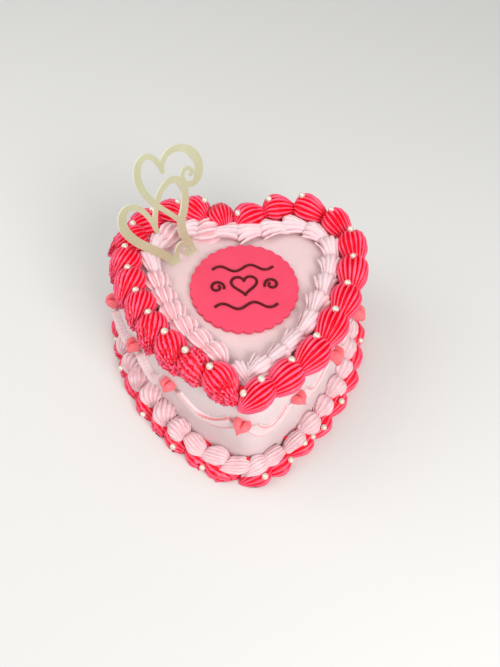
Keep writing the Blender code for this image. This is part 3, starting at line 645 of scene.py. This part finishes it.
for i in range(3, 12):
    odd_foot_shells[-1, i] = (1 + 2 * (i % 2), 165 + 20 * (i % 2), 0, -2, 1)
odd_foot_shells[-1, 12] = (3, 180, 2, -1.2, 0.92)
odd_foot_shells[-1, 13] = (1, 175, 3.5, -0.8, 0.88)
odd_foot_shells[-1, 14] = (4, 190, 4, 0.4, 1.1)
odd_foot_shells[-1, 15] = (4, 200, 5.5, 1, 1.06)
odd_foot_shells[-1, 16] = (4, 212, 6, 1.4, 1)
upper_foot_shells = piped_border("upper_foot_shells", UPPER_FOOT_ROW, soft_icing, [
    ridged_shell("pressed shell", PRESSED_ROW, 14, 0.08, 0.78, twist=0.2, torn=0.3),
    ridged_shell("swung shell", SWUNG_ROW, 13, 0.17, 0.66, twist=-1.3, bend=-0.5, lobes=0.05, torn=0.8),
    ridged_shell("smeared shell", PRESSED_ROW, 12, 0.1, 0.85, twist=-0.1, bend=-0.1, torn=0.45),
    ridged_shell("curled shell", SWUNG_ROW, 12, 0.18, 0.7, twist=1.2, bend=0.35, lobes=0.06, torn=0.8),
    ridged_shell("small shell", UPPER_FOOT_ROW._replace(width=11.5 * MM, height=9 * MM), 14, 0.16, 0.75,
                 twist=0.2, torn=0.08),
], odd_ones=odd_foot_shells, Unevenness=0.0046, Lowest=5 * MM)
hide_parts("upper_foot_border")

# Where two pale shells meet against the wall near the front, a little of the hot pink icing below was
# squeezed up between them, and a smear of it fills the gap where the top border's halves meet.
GLIMPSE_RADIUS = 1.5 * MM
SEAM_INSET = 3.8 * MM
SEAM_HEIGHT = 3.5 * MM


def stored(tree, shape, name, value):
    """Has each point of a shape carry a value under a name."""
    return wire(tree, "GeometryNodeStoreNamedAttribute", {"Geometry": shape, "Name": name, "Value": value},
                data_type="FLOAT", domain="POINT")


def glimpse_tree(finish):
    tree, size = shape_tree("Glimpses", {
        "Radius": GLIMPSE_RADIUS, "Seed": 5.0, "Unevenness": 0.002,
    })
    blob = wire(tree, "GeometryNodeMeshIcoSphere", {"Subdivisions": 3, "Radius": size["Radius"]})
    blobs = node(tree, "GeometryNodeInstanceOnPoints",
                 {"Points": size["Geometry"], "Instance": blob, "Scale": named(tree, "size")}).outputs[0]
    real = wire(tree, "GeometryNodeRealizeInstances", {"Geometry": blobs})
    # Every point is marked fully shaded, so the glimpses and the smear take the hot icing's deep red shade
    # colour: painted shade, as they sit deep between the shells.
    deep = stored(tree, real, "groove", 1.0)
    finish_tree(tree, noise_push(tree, deep, size["Seed"], 500.0, size["Unevenness"]), finish)
    return tree


seams = []
for side, shell, size, up in (
    (1, 12, 0.8, 0), (1, 13, 0.9, 0), (1, 14, 1, 0), (1, 16, 1.4, 1.5), (-1, 16, 0.7, 0),
):
    count = UPPER_FOOT_ROW.right_count if side > 0 else UPPER_FOOT_ROW.left_count
    place, heading = on_outline(UPPER_FOOT_ROW.path, half_length(UPPER_FOOT_ROW.path) * shell / count, side)
    place -= SEAM_INSET * outward(heading, side)
    seams.append((on_row(UPPER_FOOT_ROW, place) + Vector((0, 0, SEAM_HEIGHT + up * MM)), size))
tip, _ = on_outline(TOP_ROW.path, half_length(TOP_ROW.path), 1)
smears = []
for across, inwards, up, size in ((-3.5, 5, 3, 2.0), (-0.5, 6, 2.5, 1.8)):
    place = on_row(TOP_ROW, tip + Vector((across * MM, inwards * MM)))
    smears.append((place + Vector((0, 0, up * MM)), size))
squeezed = glimpse_tree(hot_icing)
for name, spots, border in (("hot_glimpses", seams, "foot_border"), ("hot_smear", smears, "top_border")):
    dots = add_mesh(name, [place for place, _ in spots])
    mark(dots, "size", [size for _, size in spots])
    glimpses = grown(dots, squeezed)
    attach(glimpses, "root")
    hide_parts(border)

# Sugar pearls: hard sugar balls with an edible pearl lustre, dropped on the piping where two shells
# meet and pressed in a little.
PEARL_RADIUS = 2.2 * MM
PEARL_SINK = 0.7 * MM
DROPPED_FROM = 0.2


def two_tone(tree, factor, low, high):
    """A colour that runs between two, each with the factor where it is pure."""
    ramp = node(tree, "ShaderNodeValToRGB", {0: factor})
    for stop, (where, colour) in zip(ramp.color_ramp.elements, (low, high)):
        stop.position = where
        stop.color = (*colour, 1)
    return ramp.outputs[0]


def clouded(name, scale, low, high, dull, looks):
    """A finish that drifts between two colours and between two roughnesses."""
    made, tree, shader, place = new_finish(name)
    cloud = noise(tree, place, scale, 3.0)
    drift = {"Base Color": two_tone(tree, cloud, low, high), "Roughness": ranged(tree, cloud, *dull)}
    feed(tree, shader, {**drift, **looks})
    return made


def pearl_tree(finish):
    """Drops each point onto the icing below it and sets a ball there."""
    tree, size = shape_tree("Pearls", {
        "Icing": None, "Radius": PEARL_RADIUS, "Sink": PEARL_SINK,
    })
    icing = node(tree, "GeometryNodeObjectInfo", {"Object": size["Icing"]}).outputs["Geometry"]
    fall = node(tree, "GeometryNodeRaycast",
                {"Target Geometry": icing, "Ray Direction": (0, 0, -1), "Ray Length": 1.0})
    up = node(tree, "ShaderNodeCombineXYZ", {2: maths(tree, "SUBTRACT", size["Radius"], size["Sink"])})
    landed = wire(tree, "ShaderNodeVectorMath", {0: fall.outputs["Hit Position"], 1: up.outputs[0]},
                  operation="ADD")
    points = kept_above(tree, size["Geometry"], landed, size["Radius"])
    ball = node(tree, "GeometryNodeMeshUVSphere", {"Segments": 24, "Rings": 14, "Radius": size["Radius"]})
    vary = node(tree, "FunctionNodeRandomValue", {2: 0.92, 3: 1.0, "Seed": 4}, data_type="FLOAT").outputs[1]
    balls = node(tree, "GeometryNodeInstanceOnPoints",
                 {"Points": points, "Instance": ball.outputs[0], "Scale": vary}).outputs[0]
    finish_tree(tree, balls, finish)
    return tree


def top_pearl_places():
    """One pearl at each meeting of two shells, a little out at the back and further in at the front."""
    places = []
    half = half_length(TOP_ROW.path)
    for side, count in ((-1, TOP_ROW.left_count), (1, TOP_ROW.right_count)):
        for i in range(count - 1):
            if side > 0:
                distance = half * (i + 1.1) / (count - 0.5)
            else:
                distance = half * (i + 1.35) / (count + 0.8)
            place, heading = on_outline(TOP_ROW.path, distance, side)
            place += (1 - 4 * distance / half) * MM * outward(heading, side)
            places.append(on_row(TOP_ROW, place))
    notch, _ = on_outline(TOP_ROW.path, 0, 1)
    places.append(on_row(TOP_ROW, notch))
    tip, _ = on_outline(TOP_ROW.path, half, 1)
    places.append(on_row(TOP_ROW, tip + Vector((-3 * MM, 0.5 * MM))))
    return places


FRONT_PEARLS = {
    1: ((0.70, 7), (0.784, 7), (0.817, 5), (0.849, 5), (0.899, 7), (0.969, 7)),
    -1: ((0.56, 8), (0.698, 9), (0.812, 9), (0.897, 8)),
}


def foot_pearl_places():
    """Each pearl's share of the half and how far out it lies in millimetres: one at every second meeting
    of the foot's shells at the back, and scattered at the front, low on their outer shoulders."""
    places = []
    half = half_length(FOOT_ROW.path)
    for side, count in ((-1, FOOT_ROW.left_count), (1, FOOT_ROW.right_count)):
        at_back = tuple((i / count, 7) for i in range(1, 8, 2))
        for share, out in at_back + FRONT_PEARLS[side]:
            place, heading = on_outline(FOOT_ROW.path, half * share, side)
            place += out * MM * outward(heading, side)
            places.append(on_row(FOOT_ROW, place))
    return places


lustre = clouded("pearl lustre", 700.0, (0.3, (0.66, 0.62, 0.47)), (0.7, (0.86, 0.84, 0.74)), (0.2, 0.34),
                 {"Metallic": 0.35, "Coat Weight": 0.5, "Coat Roughness": 0.12})
for name, places, icing, border in (
    ("top_pearls", top_pearl_places(), top_shells, "top_border"),
    ("foot_pearls", foot_pearl_places(), foot_shells, "foot_border"),
):
    drops = add_mesh(name, [(place.x, place.y, DROPPED_FROM) for place in places])
    pearls = grown(drops, pearl_tree(lustre), {"Icing": icing})
    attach(pearls, "root")
    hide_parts(border)

# The wall's hearts: small hearts of coral buttercream, two blobs from a round tip whose tails are drawn
# together to a point.
HEARTS_RIGHT = ((28, 57), (64, 57), (100, 56), (137, 53), (177, 60), (214, 58))
HEARTS_LEFT = ((14, 57), (48, 57), (82, 56), (117, 55), (152, 52), (188, 51), (241, 60))
HEART_WIDTH = 11 * MM
HEART_DEPTH = 5.6 * MM
HEART_STRETCH = 1.2
HEART_LOWERED = 1 * MM
HEART_PROUD = 2.2 * MM


def heart_curve(t):
    """A point on a heart 32 wide, which stands on its point."""
    return (16 * math.sin(t) ** 3,
            13 * math.cos(t) - 5 * math.cos(2 * t) - 2 * math.cos(3 * t) - math.cos(4 * t))


def piped_heart(name, lean):
    """A domed heart in the XY plane with its point towards -Y, and a crease between its lobes."""
    spokes = 64
    rings = 14
    verts = []
    for ring in range(rings + 1):
        reach = math.sin(math.pi / 2 * ring / rings)
        dome = max(0, 1 - reach**3) ** 0.6
        for spoke in range(spokes):
            x, y = heart_curve(2 * math.pi * spoke / spokes)
            x *= reach / 16
            y = 0.1 + (y / 16 - 0.1) * reach
            crease = math.exp(-((x / 0.12) ** 2)) * min(1, max(0, (y + 0.5) / 0.9))
            x += lean * max(0, -y) ** 2
            verts.append(Vector((x * HEART_WIDTH / 2, y * HEART_WIDTH / 2 * HEART_STRETCH,
                                 HEART_DEPTH * dome * (1 - 0.3 * crease) * (1 - 0.2 * max(0, -y)))))
    verts += [Vector((edge.x * 0.8, edge.y * 0.8, -1.5 * MM)) for edge in verts[-spokes:]]
    faces = ring_faces(0, spokes, rings + 2)
    faces.append(tuple(reversed(range(len(verts) - spokes, len(verts)))))
    return add_solid(name, verts, faces, weld=0.01 * MM)


def stuck_on_wall(distance, side, height, proud):
    """The frame of a thing on the wall: across it, up it, and away from it."""
    place, heading = on_outline(WALL, distance, side)
    away = outward(heading, side).to_3d()
    up = Vector((0, 0, 1))
    across = up.cross(away)
    frame_there = Matrix((across, up, away)).transposed().to_4x4()
    frame_there.translation = Vector((place.x, place.y, height)) + proud * away
    return frame_there


def uneven_tree(name, seed, scale, depth, finish):
    """A tree that only makes a surface a little uneven."""
    tree, size = shape_tree(name, {"Seed": seed, "Unevenness": depth})
    finish_tree(tree, noise_push(tree, size["Geometry"], size["Seed"], scale, size["Unevenness"]), finish)
    return tree


coral_icing = buttercream("coral buttercream", (0.93, 0.17, 0.20), (0.85, 0.08, 0.10), 0.36, 0.08)
coral_surface = uneven_tree("Piped heart", 0.0, 260.0, 0.0012, coral_icing)
heart_stops = [(distance * MM, 1, height * MM) for distance, height in HEARTS_RIGHT]
heart_stops += [(distance * MM, -1, height * MM) for distance, height in reversed(HEARTS_LEFT)]
draw = random.Random(21)
for number, (distance, side, height) in enumerate(heart_stops):
    name = f"wall_heart_{number + 1:02d}"
    heart = piped_heart("coral_heart_" + name[-2:], draw.uniform(-0.45, 0.45))
    roll = Matrix.Rotation(math.radians(draw.uniform(-14, 14)), 4, "Z")
    roll @= Matrix.Scale(draw.uniform(0.93, 1.02), 4)
    tilt = Matrix.Rotation(math.radians(draw.uniform(-42, -30)), 4, "X")
    there = stuck_on_wall(distance, side, height - HEART_LOWERED, HEART_PROUD)
    heart.data.transform(there @ tilt @ roll)
    heart = grown(heart, coral_surface, {"Seed": float(number)})
    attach(heart, "root")
    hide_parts(name)

# The swags: pale buttercream piped on the wall in a drooping line from each heart to the next. At the
# right they lie flat between two raised edges that are painted darker as shade. At the left they are
# thick and faintly ruffled, with painted shade along the upper lip, and the one at the front left
# starts spread out, with painted shade on both edges.
SWAG_HALF_WIDTH = 4.8 * MM
SWAG_DROOP = 15 * MM
SWAG_END_GAP = 5.5 * MM
SWAG_BELOW_HEART = 3 * MM
SWAG_STEPS = 60
SWAG_PROFILE_STEPS = 44


def swag_profile_loop(name, body, bead, upper_shade, lower_shade):
    """The tip's mark: a rounded body that is proudest in its upper half, with a bead along both edges."""
    places = []
    edge_shades = []
    for step in range(SWAG_PROFILE_STEPS + 1):
        up = 2 * step / SWAG_PROFILE_STEPS - 1
        at_upper = math.exp(-(((up - 0.86) / 0.08) ** 2))
        at_lower = math.exp(-(((up + 0.86) / 0.08) ** 2))
        swell = 0.7 * MM + body * math.exp(-(((up - 0.35) / 0.6) ** 2)) + bead * (at_upper + at_lower)
        end = min(1, ((1 - abs(up)) / 0.2) ** 0.5)
        places.append((-(swell * end + 0.3 * MM), -up * SWAG_HALF_WIDTH, 0))
        # The edges' marks paint shade along the beads and the upper lip in the swag icing's darker colour.
        edge_shades.append(upper_shade * at_upper + lower_shade * at_lower)
    places += [(MM, -SWAG_HALF_WIDTH, 0), (MM, SWAG_HALF_WIDTH, 0)]
    count = len(places)
    loop = add_mesh(name, places, edges=[(i, (i + 1) % count) for i in range(count)])
    mark(loop, "groove", edge_shades + [0.0, 0.0])
    return loop


def swag_tree(finish):
    """Draws the band's profile along a line; the line's radius tapers it, and pleats ruffle its upper lip.
    Past a distance along the line the painted shade on its edges fades."""
    tree, size = shape_tree("Swag", {
        "Profile": None, "Ruffle": 0.0001, "Ruffle length": 0.0031,
        "Ruffled from": -0.0005, "Stain fades at": 1.0,
        "Seed": 0.0, "Unevenness": 0.0012,
    })
    line = wire(tree, "GeometryNodeResampleCurve", {"Curve": size["Geometry"], "Count": 110})
    upright = wire(tree, "GeometryNodeSetCurveNormal", {"Curve": line}, mode="Z_UP")
    measured = stored(tree, upright, "along", node(tree, "GeometryNodeSplineParameter").outputs["Length"])
    shape = node(tree, "GeometryNodeObjectInfo", {"Object": size["Profile"]}).outputs["Geometry"]
    loop = wire(tree, "GeometryNodeMeshToCurve", {"Mesh": shape})
    rise = node(tree, "ShaderNodeSeparateXYZ", {0: position(tree)}).outputs[1]
    band = wire(tree, "GeometryNodeCurveToMesh", {
        "Curve": measured, "Profile Curve": stored(tree, loop, "rise", rise), "Fill Caps": True,
    })
    along = named(tree, "along")
    upper = ranged(tree, named(tree, "rise"), 0.0, 1.0, size["Ruffled from"], -0.0042)
    turns = maths(tree, "DIVIDE", along, size["Ruffle length"])
    wave = maths(tree, "SINE", maths(tree, "MULTIPLY", turns, 2 * math.pi))
    pleat = maths(tree, "MULTIPLY", maths(tree, "MULTIPLY", wave, upper), size["Ruffle"])
    ruffled = pushed_out(tree, band, pleat)
    left = ranged(tree, maths(tree, "SUBTRACT", along, size["Stain fades at"]), 1.0, 0.35, 0.0, 0.012)
    # The edges keep their painted shade near the start and only a part of it past the given distance.
    shaded_edges = stored(tree, ruffled, "groove", maths(tree, "MULTIPLY", named(tree, "groove"), left))
    finish_tree(tree, noise_push(tree, shaded_edges, size["Seed"], 180.0, size["Unevenness"]), finish)
    return tree


def curve_line(name, places, radii):
    curve = bpy.data.curves.new(name, "CURVE")
    curve.dimensions = "3D"
    spline = curve.splines.new("POLY")
    spline.points.add(len(places) - 1)
    for point, place, radius in zip(spline.points, places, radii):
        point.co = (*place, 1)
        point.radius = radius
    return add_object(name, curve)


thick_band = swag_profile_loop("thick band", 4.2 * MM, 0, 0.25, 0)
flat_band = swag_profile_loop("flat band", 0, 0.7 * MM, 0.6, 0.6)
spread_band = swag_profile_loop("spread band", 1.5 * MM, 0.9 * MM, 1, 1)
swag_icing = buttercream("swag buttercream", (0.84, 0.65, 0.67), (0.80, 0.26, 0.27), 0.40, 0.10)
swag_shape = swag_tree(swag_icing)
whole_wall = 2 * half_length(WALL)
stops = []
for distance, side, height in heart_stops:
    stops.append((distance if side > 0 else whole_wall - distance, height))
stops.append((stops[0][0] + whole_wall, stops[0][1]))
for number, (start, end) in enumerate(zip(stops, stops[1:])):
    places = []
    radii = []
    for step in range(SWAG_STEPS + 1):
        share = step / SWAG_STEPS
        begin = start[0] + SWAG_END_GAP
        place, away = round_the_heart(WALL, begin + (end[0] - SWAG_END_GAP - begin) * share)
        sag = SWAG_DROOP * (1 - (2 * share - 1) ** 2)
        height = start[1] + (end[1] - start[1]) * share - SWAG_BELOW_HEART - sag
        places.append((place.x, place.y, height))
        if number == len(HEARTS_RIGHT):
            radii.append(max(0.05, (1.9 - 1.1 * share) * math.sin(math.pi * share) ** 0.25))
        else:
            radii.append(max(0.05, math.sin(math.pi * share) ** 0.4))
    line = curve_line(f"swag_line_{number + 1:02d}", places, radii)
    look = {"Profile": thick_band, "Ruffle": 0.00012, "Seed": float(number)}
    if number < len(HEARTS_RIGHT):
        look.update({"Profile": flat_band, "Ruffle": 0.0})
    elif number == len(HEARTS_RIGHT):
        look.update({"Profile": spread_band, "Ruffle": 0.0002, "Ruffle length": 0.0034,
                     "Ruffled from": 0.012, "Stain fades at": 0.024})
    swag = grown(line, swag_shape, look)
    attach(swag, "root")
    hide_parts(f"swag_{number + 1:02d}")
for band in (thick_band, flat_band, spread_band):
    bpy.data.objects.remove(band, do_unlink=True)

# The disc: rose fondant rolled 3 mm thick and cut with a scalloped cutter, laid on the cake's top.
PLAQUE_CENTRE = Vector((2 * MM, 1 * MM, 0))
PLAQUE_RADIUS = 34 * MM
PLAQUE_SCALLOPS = 30
PLAQUE_SCALLOP_DEPTH = 1.3 * MM
PLAQUE_THICKNESS = 3 * MM
PLAQUE_FOOT = CAKE_HEIGHT + 0.3 * MM
PLAQUE_TOP = PLAQUE_FOOT + PLAQUE_THICKNESS
PLAQUE_ROUNDING = 0.8 * MM
PLAQUE_RINGS = 16
DISC_STEPS = PLAQUE_SCALLOPS * 12


def rolled_fondant():
    made, tree, shader, place = new_finish("rose fondant")
    powder = noise(tree, place, 400.0, 3.0)
    feed(tree, shader, {
        "Base Color": two_tone(tree, noise(tree, place, 45.0, 4.0), (0.3, (0.77, 0.044, 0.105)),
                               (0.7, (0.83, 0.058, 0.130))),
        "Roughness": ranged(tree, powder, 0.48, 0.66), "Normal": bump(tree, powder, 0.12, 0.2 * MM),
        "Subsurface Weight": 0.15, "Subsurface Radius": (1.0, 0.4, 0.35), "Subsurface Scale": 1.5 * MM,
    })
    return made


levels = [(0.0, 0.25 * MM), (0.25 * MM, 0.0), (PLAQUE_THICKNESS - PLAQUE_ROUNDING, 0.0)]
disc_verts = []
for height, inset in levels + rounded_edge(PLAQUE_THICKNESS, PLAQUE_ROUNDING):
    for step in range(DISC_STEPS):
        angle = 2 * math.pi * step / DISC_STEPS
        bulge = abs(math.sin(PLAQUE_SCALLOPS * angle / 2)) ** 0.8
        reach = PLAQUE_RADIUS - PLAQUE_SCALLOP_DEPTH * (1 - bulge) - inset
        disc_verts.append(PLAQUE_CENTRE + Vector((
            reach * math.cos(angle), reach * math.sin(angle), PLAQUE_FOOT + height)))
disc_middle = Vector((PLAQUE_CENTRE.x, PLAQUE_CENTRE.y, PLAQUE_TOP))
disc_rim = disc_verts[-DISC_STEPS:]
for ring in range(1, PLAQUE_RINGS):
    for edge in disc_rim:
        disc_verts.append(disc_middle + (edge.xy - disc_middle.xy).to_3d() * (1 - ring / PLAQUE_RINGS))
disc_faces = ring_faces(0, DISC_STEPS, len(disc_verts) // DISC_STEPS)
disc_faces += fan_faces(len(disc_verts), len(disc_verts) - DISC_STEPS, DISC_STEPS)
disc_faces.append(tuple(reversed(range(DISC_STEPS))))
disc_surface = uneven_tree("Rolled disc", 9.0, 60.0, 0.0004, rolled_fondant())
disc = grown(add_solid("fondant_disc", disc_verts + [disc_middle], disc_faces), disc_surface)
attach(disc, "root")
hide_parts("plaque")

# The flourish on the disc: melted dark chocolate piped from a paper cone into a heart, two scrolls and
# two waves, round in section and still a little glossy.
FLOURISH_RADIUS = 0.85 * MM
FLOURISH_LIFT = 0.25 * MM
FLOURISH_SCALE = 0.5 * MM
FLOURISH_STEPS = 60


def piped_line_tree(finish):
    """A round line whose thickness wavers and whose ends are blunt."""
    tree, size = shape_tree("Piped line", {
        "Radius": FLOURISH_RADIUS, "Step": 0.0004, "Wobble": 0.5,
        "Seed": 3.0,
    })
    line = wire(tree, "GeometryNodeResampleCurve", {"Curve": size["Geometry"], "Length": size["Step"]},
                mode="LENGTH")
    waver = wire(tree, "ShaderNodeTexNoise", {"Vector": position(tree), "W": size["Seed"], "Scale": 160.0},
                 noise_dimensions="4D")
    change = maths(tree, "MULTIPLY", maths(tree, "SUBTRACT", waver, 0.55), size["Wobble"])
    factor = node(tree, "GeometryNodeSplineParameter").outputs["Factor"]
    arch = maths(tree, "SINE", maths(tree, "MULTIPLY", factor, math.pi))
    thick = maths(tree, "MULTIPLY", maths(tree, "ADD", change, 0.95), maths(tree, "POWER", arch, 0.18))
    round_line = wire(tree, "GeometryNodeSetCurveRadius", {"Curve": line, "Radius": thick})
    ring = node(tree, "GeometryNodeCurvePrimitiveCircle", {"Resolution": 12, "Radius": size["Radius"]})
    tube = node(tree, "GeometryNodeCurveToMesh",
                {"Curve": round_line, "Profile Curve": ring.outputs[0], "Fill Caps": True}).outputs[0]
    finish_tree(tree, tube, finish)
    return tree


flourish_lines = [[]]
for i in range(FLOURISH_STEPS + 1):
    x, y = heart_curve(math.pi * (2 * i / FLOURISH_STEPS - 1))
    flourish_lines[0].append((x * FLOURISH_SCALE, (y + 2) * FLOURISH_SCALE))
for height in (14, -15):
    wave = []
    for i in range(97):
        wave.append(((i / 8 - 6) * 3.2 * MM, (height + 2.2 * math.sin(i / 8 * math.pi / 3)) * MM))
    flourish_lines.append(wave)
for way in (-1, 1):
    scroll = []
    for i in range(57):
        angle = math.radians(200 - i / 8 * 62)
        reach = (4.6 - 0.45 * i / 8) * MM
        scroll.append((way * (17 * MM + reach * math.cos(angle)), reach * math.sin(angle)))
    flourish_lines.append(scroll)
chocolate = piped_line_tree(clouded(
    "dark chocolate", 350.0, (0.0, (0.05, 0.002, 0.003)), (1.0, (0.12, 0.006, 0.006)), (0.35, 0.5),
    {"IOR": 1.3},
))
for number, line in enumerate(flourish_lines):
    places = [PLAQUE_CENTRE + Vector((x, y, PLAQUE_TOP + FLOURISH_LIFT)) for x, y in line]
    stroke = grown(curve_line(f"chocolate_line_{number + 1}", places, [1] * len(places)), chocolate)
    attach(stroke, "root")
    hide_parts("plaque")

# The topper: two open hearts cut by laser from 1.5 mm acrylic sheet with a pale gold film. Two
# feet, the lower heart's point and the end beside it, are pushed into the cake, and it leans back.
TOPPER_FOOT = Vector((-41.6 * MM, 23.6 * MM, CAKE_HEIGHT - 0.1 * MM))
TOPPER_TURN = math.radians(35.5)
TOPPER_LEAN = math.radians(20)
TOPPER_THICKNESS = 1.5 * MM
STROKE_STEPS = 7
TOPPER_STROKES = (
    ((-2.5, 26, 3), (-4.5, 37, 3), (-9, 46.5, 3.6), (-15.5, 49.7, 4), (-20.7, 46, 5), (-21.7, 38, 5.6),
     (-17.5, 28, 5.6), (-9.5, 17.5, 5.5), (-3, 9, 5.4), (2.6, -1, 5), (3.4, -5, 5)),
    ((-3.4, 28.5, 2.6), (0, 38, 3), (6, 47.5, 3.4), (14.5, 52.4, 3.8), (21, 50, 4.6), (23, 42, 5),
     (19.5, 32, 5), (14.6, 24.5, 5.4), (13.4, 16, 5.6), (15.4, 8.5, 4.4), (16.8, 0, 4), (16.8, -5, 4)),
    ((3.4, -2, 3.6), (4.4, 5.5, 3.4), (8.8, 10.4, 3.4), (14.4, 8.8, 3.6)),
    ((16.5, 1.2, 2), (12.8, 0.8, 1.8), (10.3, 3, 1.8), (11.2, 5.3, 1.7), (13, 4.8, 1.6)),
    ((14.5, 25, 3.6), (8.5, 34, 3.2), (2, 43.5, 3.6), (-2.4, 53, 4.2), (-3.5, 62, 4.6), (-0.5, 69.5, 4),
     (5, 72.4, 3.4), (10, 69.5, 3.2), (12.2, 64, 3), (13, 58.6, 2.6)),
    ((12.6, 60, 2.6), (15, 65, 3), (19.5, 68.2, 3.4), (26, 68.4, 4), (33, 64.6, 5), (37, 57, 5.8),
     (36, 48.5, 5.6), (31.2, 44, 4), (26.2, 45, 3.6), (24, 49.6, 3), (26, 53.8, 2.6), (29.8, 54, 2.4),
     (31.8, 50.8, 2.2), (29.4, 49.2, 2)),
)


def smooth_line(places, steps):
    """Points on a smooth curve through the given ones, with their last value, a width, eased too."""
    ends = [places[0]] + list(places) + [places[-1]]
    line = []
    for before, a, b, after in zip(ends, ends[1:], ends[2:], ends[3:]):
        for i in range(steps):
            t = i / steps
            line.append(tuple(
                0.5 * (2 * p1 + (p2 - p0) * t + (2 * p0 - 5 * p1 + 4 * p2 - p3) * t**2
                       + (3 * p1 - p0 - 3 * p2 + p3) * t**3)
                for p0, p1, p2, p3 in zip(before, a, b, after)
            ))
    line.append(tuple(places[-1]))
    return line


def flat_stroke(name, line):
    """A flat stroke of the sheet: each point of its line is (x, y, width) in millimetres."""
    left = []
    right = []
    for i, (x, y, width) in enumerate(line):
        before = line[max(i - 1, 0)]
        after = line[min(i + 1, len(line) - 1)]
        along = Vector((after[0] - before[0], after[1] - before[1])).normalized()
        across = Vector((-along.y, along.x)) * width / 2
        left.append((Vector((x, y)) + across) * MM)
        right.append((Vector((x, y)) - across) * MM)
    count = len(line)
    verts = []
    for height in (-TOPPER_THICKNESS / 2, TOPPER_THICKNESS / 2):
        verts += [(*place, height) for place in left + right]
    faces = []
    for i in range(count - 1):
        faces.append((i, i + 1, count + i + 1, count + i))
        faces.append((2 * count + i, 3 * count + i, 3 * count + i + 1, 2 * count + i + 1))
        faces.append((i, 2 * count + i, 2 * count + i + 1, i + 1))
        faces.append((count + i, count + i + 1, 3 * count + i + 1, 3 * count + i))
    faces.append((0, count, 3 * count, 2 * count))
    faces.append((count - 1, 3 * count - 1, 4 * count - 1, 2 * count - 1))
    return add_solid(name, verts, faces)


def gold_film(name, light, dark):
    return clouded(name, 30.0, (0.3, dark), (0.75, light), (0.24, 0.38), {"Metallic": 0.3})


strokes = []
for number, line in enumerate(TOPPER_STROKES):
    strokes.append(flat_stroke(f"stroke {number}", smooth_line(line, STROKE_STEPS)))
others = bpy.data.collections.new("other strokes")
bpy.context.scene.collection.children.link(others)
for stroke in strokes[1:]:
    bpy.context.scene.collection.objects.unlink(stroke)
    others.objects.link(stroke)
union = strokes[0].modifiers.new("One sheet", "BOOLEAN")
union.operation = "UNION"
union.operand_type = "COLLECTION"
union.collection = others
union.solver = "EXACT"
bpy.context.view_layer.update()
cut = bpy.data.meshes.new_from_object(strokes[0].evaluated_get(bpy.context.evaluated_depsgraph_get()))
for stroke in strokes:
    bpy.data.objects.remove(stroke, do_unlink=True)
bpy.data.collections.remove(others)
along = Vector((math.cos(TOPPER_TURN), math.sin(TOPPER_TURN), 0))
front = Vector((along.y, -along.x, 0))
up = Vector((0, 0, math.cos(TOPPER_LEAN))) - front * math.sin(TOPPER_LEAN)
face_way = along.cross(up)
stand = Matrix((along, up, face_way)).transposed().to_4x4()
stand.translation = TOPPER_FOOT
cut.transform(stand)
cut.materials.clear()
cut.materials.append(gold_film("pale gold film", (0.66, 0.68, 0.46), (0.54, 0.55, 0.34)))
# The cut edges take a much lighter copy of the gold film: partly the sheet's own unfilmed edge, partly a
# painted highlight where the edges catch the light.
cut.materials.append(gold_film("bright cut edge", (0.90, 0.91, 0.74), (0.82, 0.83, 0.64)))
for face in cut.polygons:
    face.material_index = 0 if abs(face.normal.dot(face_way)) > 0.5 else 1
topper = add_object("gold_hearts", cut)
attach(topper, "root")
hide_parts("topper")

# The studio: a plain pale floor, soft light from above and behind, and the camera looking down on the
# cake's point.
FLOOR_SIZE = 3.0
FLOOR_GAP = 0.2 * MM
bpy.ops.mesh.primitive_plane_add(size=FLOOR_SIZE, location=(0, 0, -FLOOR_GAP))
floor = bpy.context.object
floor.name = "floor"
floor_finish, tree, shader, _ = new_finish("floor paint")
feed(tree, shader, {"Base Color": (0.72, 0.72, 0.70, 1), "Roughness": 0.6})
floor.data.materials.append(floor_finish)

world = bpy.data.worlds.new("studio")
world.use_nodes = True
feed(world.node_tree, world.node_tree.nodes["Background"], {0: (1.0, 0.99, 0.98, 1), 1: 0.6})
bpy.context.scene.world = world


def soft_box(name, place, target, size, watts):
    light = bpy.data.lights.new(name, "AREA")
    light.shape = "SQUARE"
    light.size = size
    light.energy = watts
    lamp = add_object(name, light)
    lamp.location = place
    lamp.rotation_euler = (Vector(target) - Vector(place)).to_track_quat("-Z", "Y").to_euler()


MIDDLE = (0, 0, 60 * MM)
soft_box("key", (0.35, -0.65, 0.65), MIDDLE, 0.4, 5.5)
soft_box("fill", (-0.5, 0.1, 0.7), MIDDLE, 0.6, 2.6)

lens = bpy.data.cameras.new("camera")
lens.lens = 32.4
lens.sensor_width = 36
camera = add_object("camera", lens)
camera.location = (-0.01945, -0.22411, 0.3757)
camera.rotation_euler = [math.radians(angle) for angle in (32.811, -1.098, -4.886)]
bpy.context.scene.camera = camera
bpy.context.scene.view_settings.view_transform = "Standard"
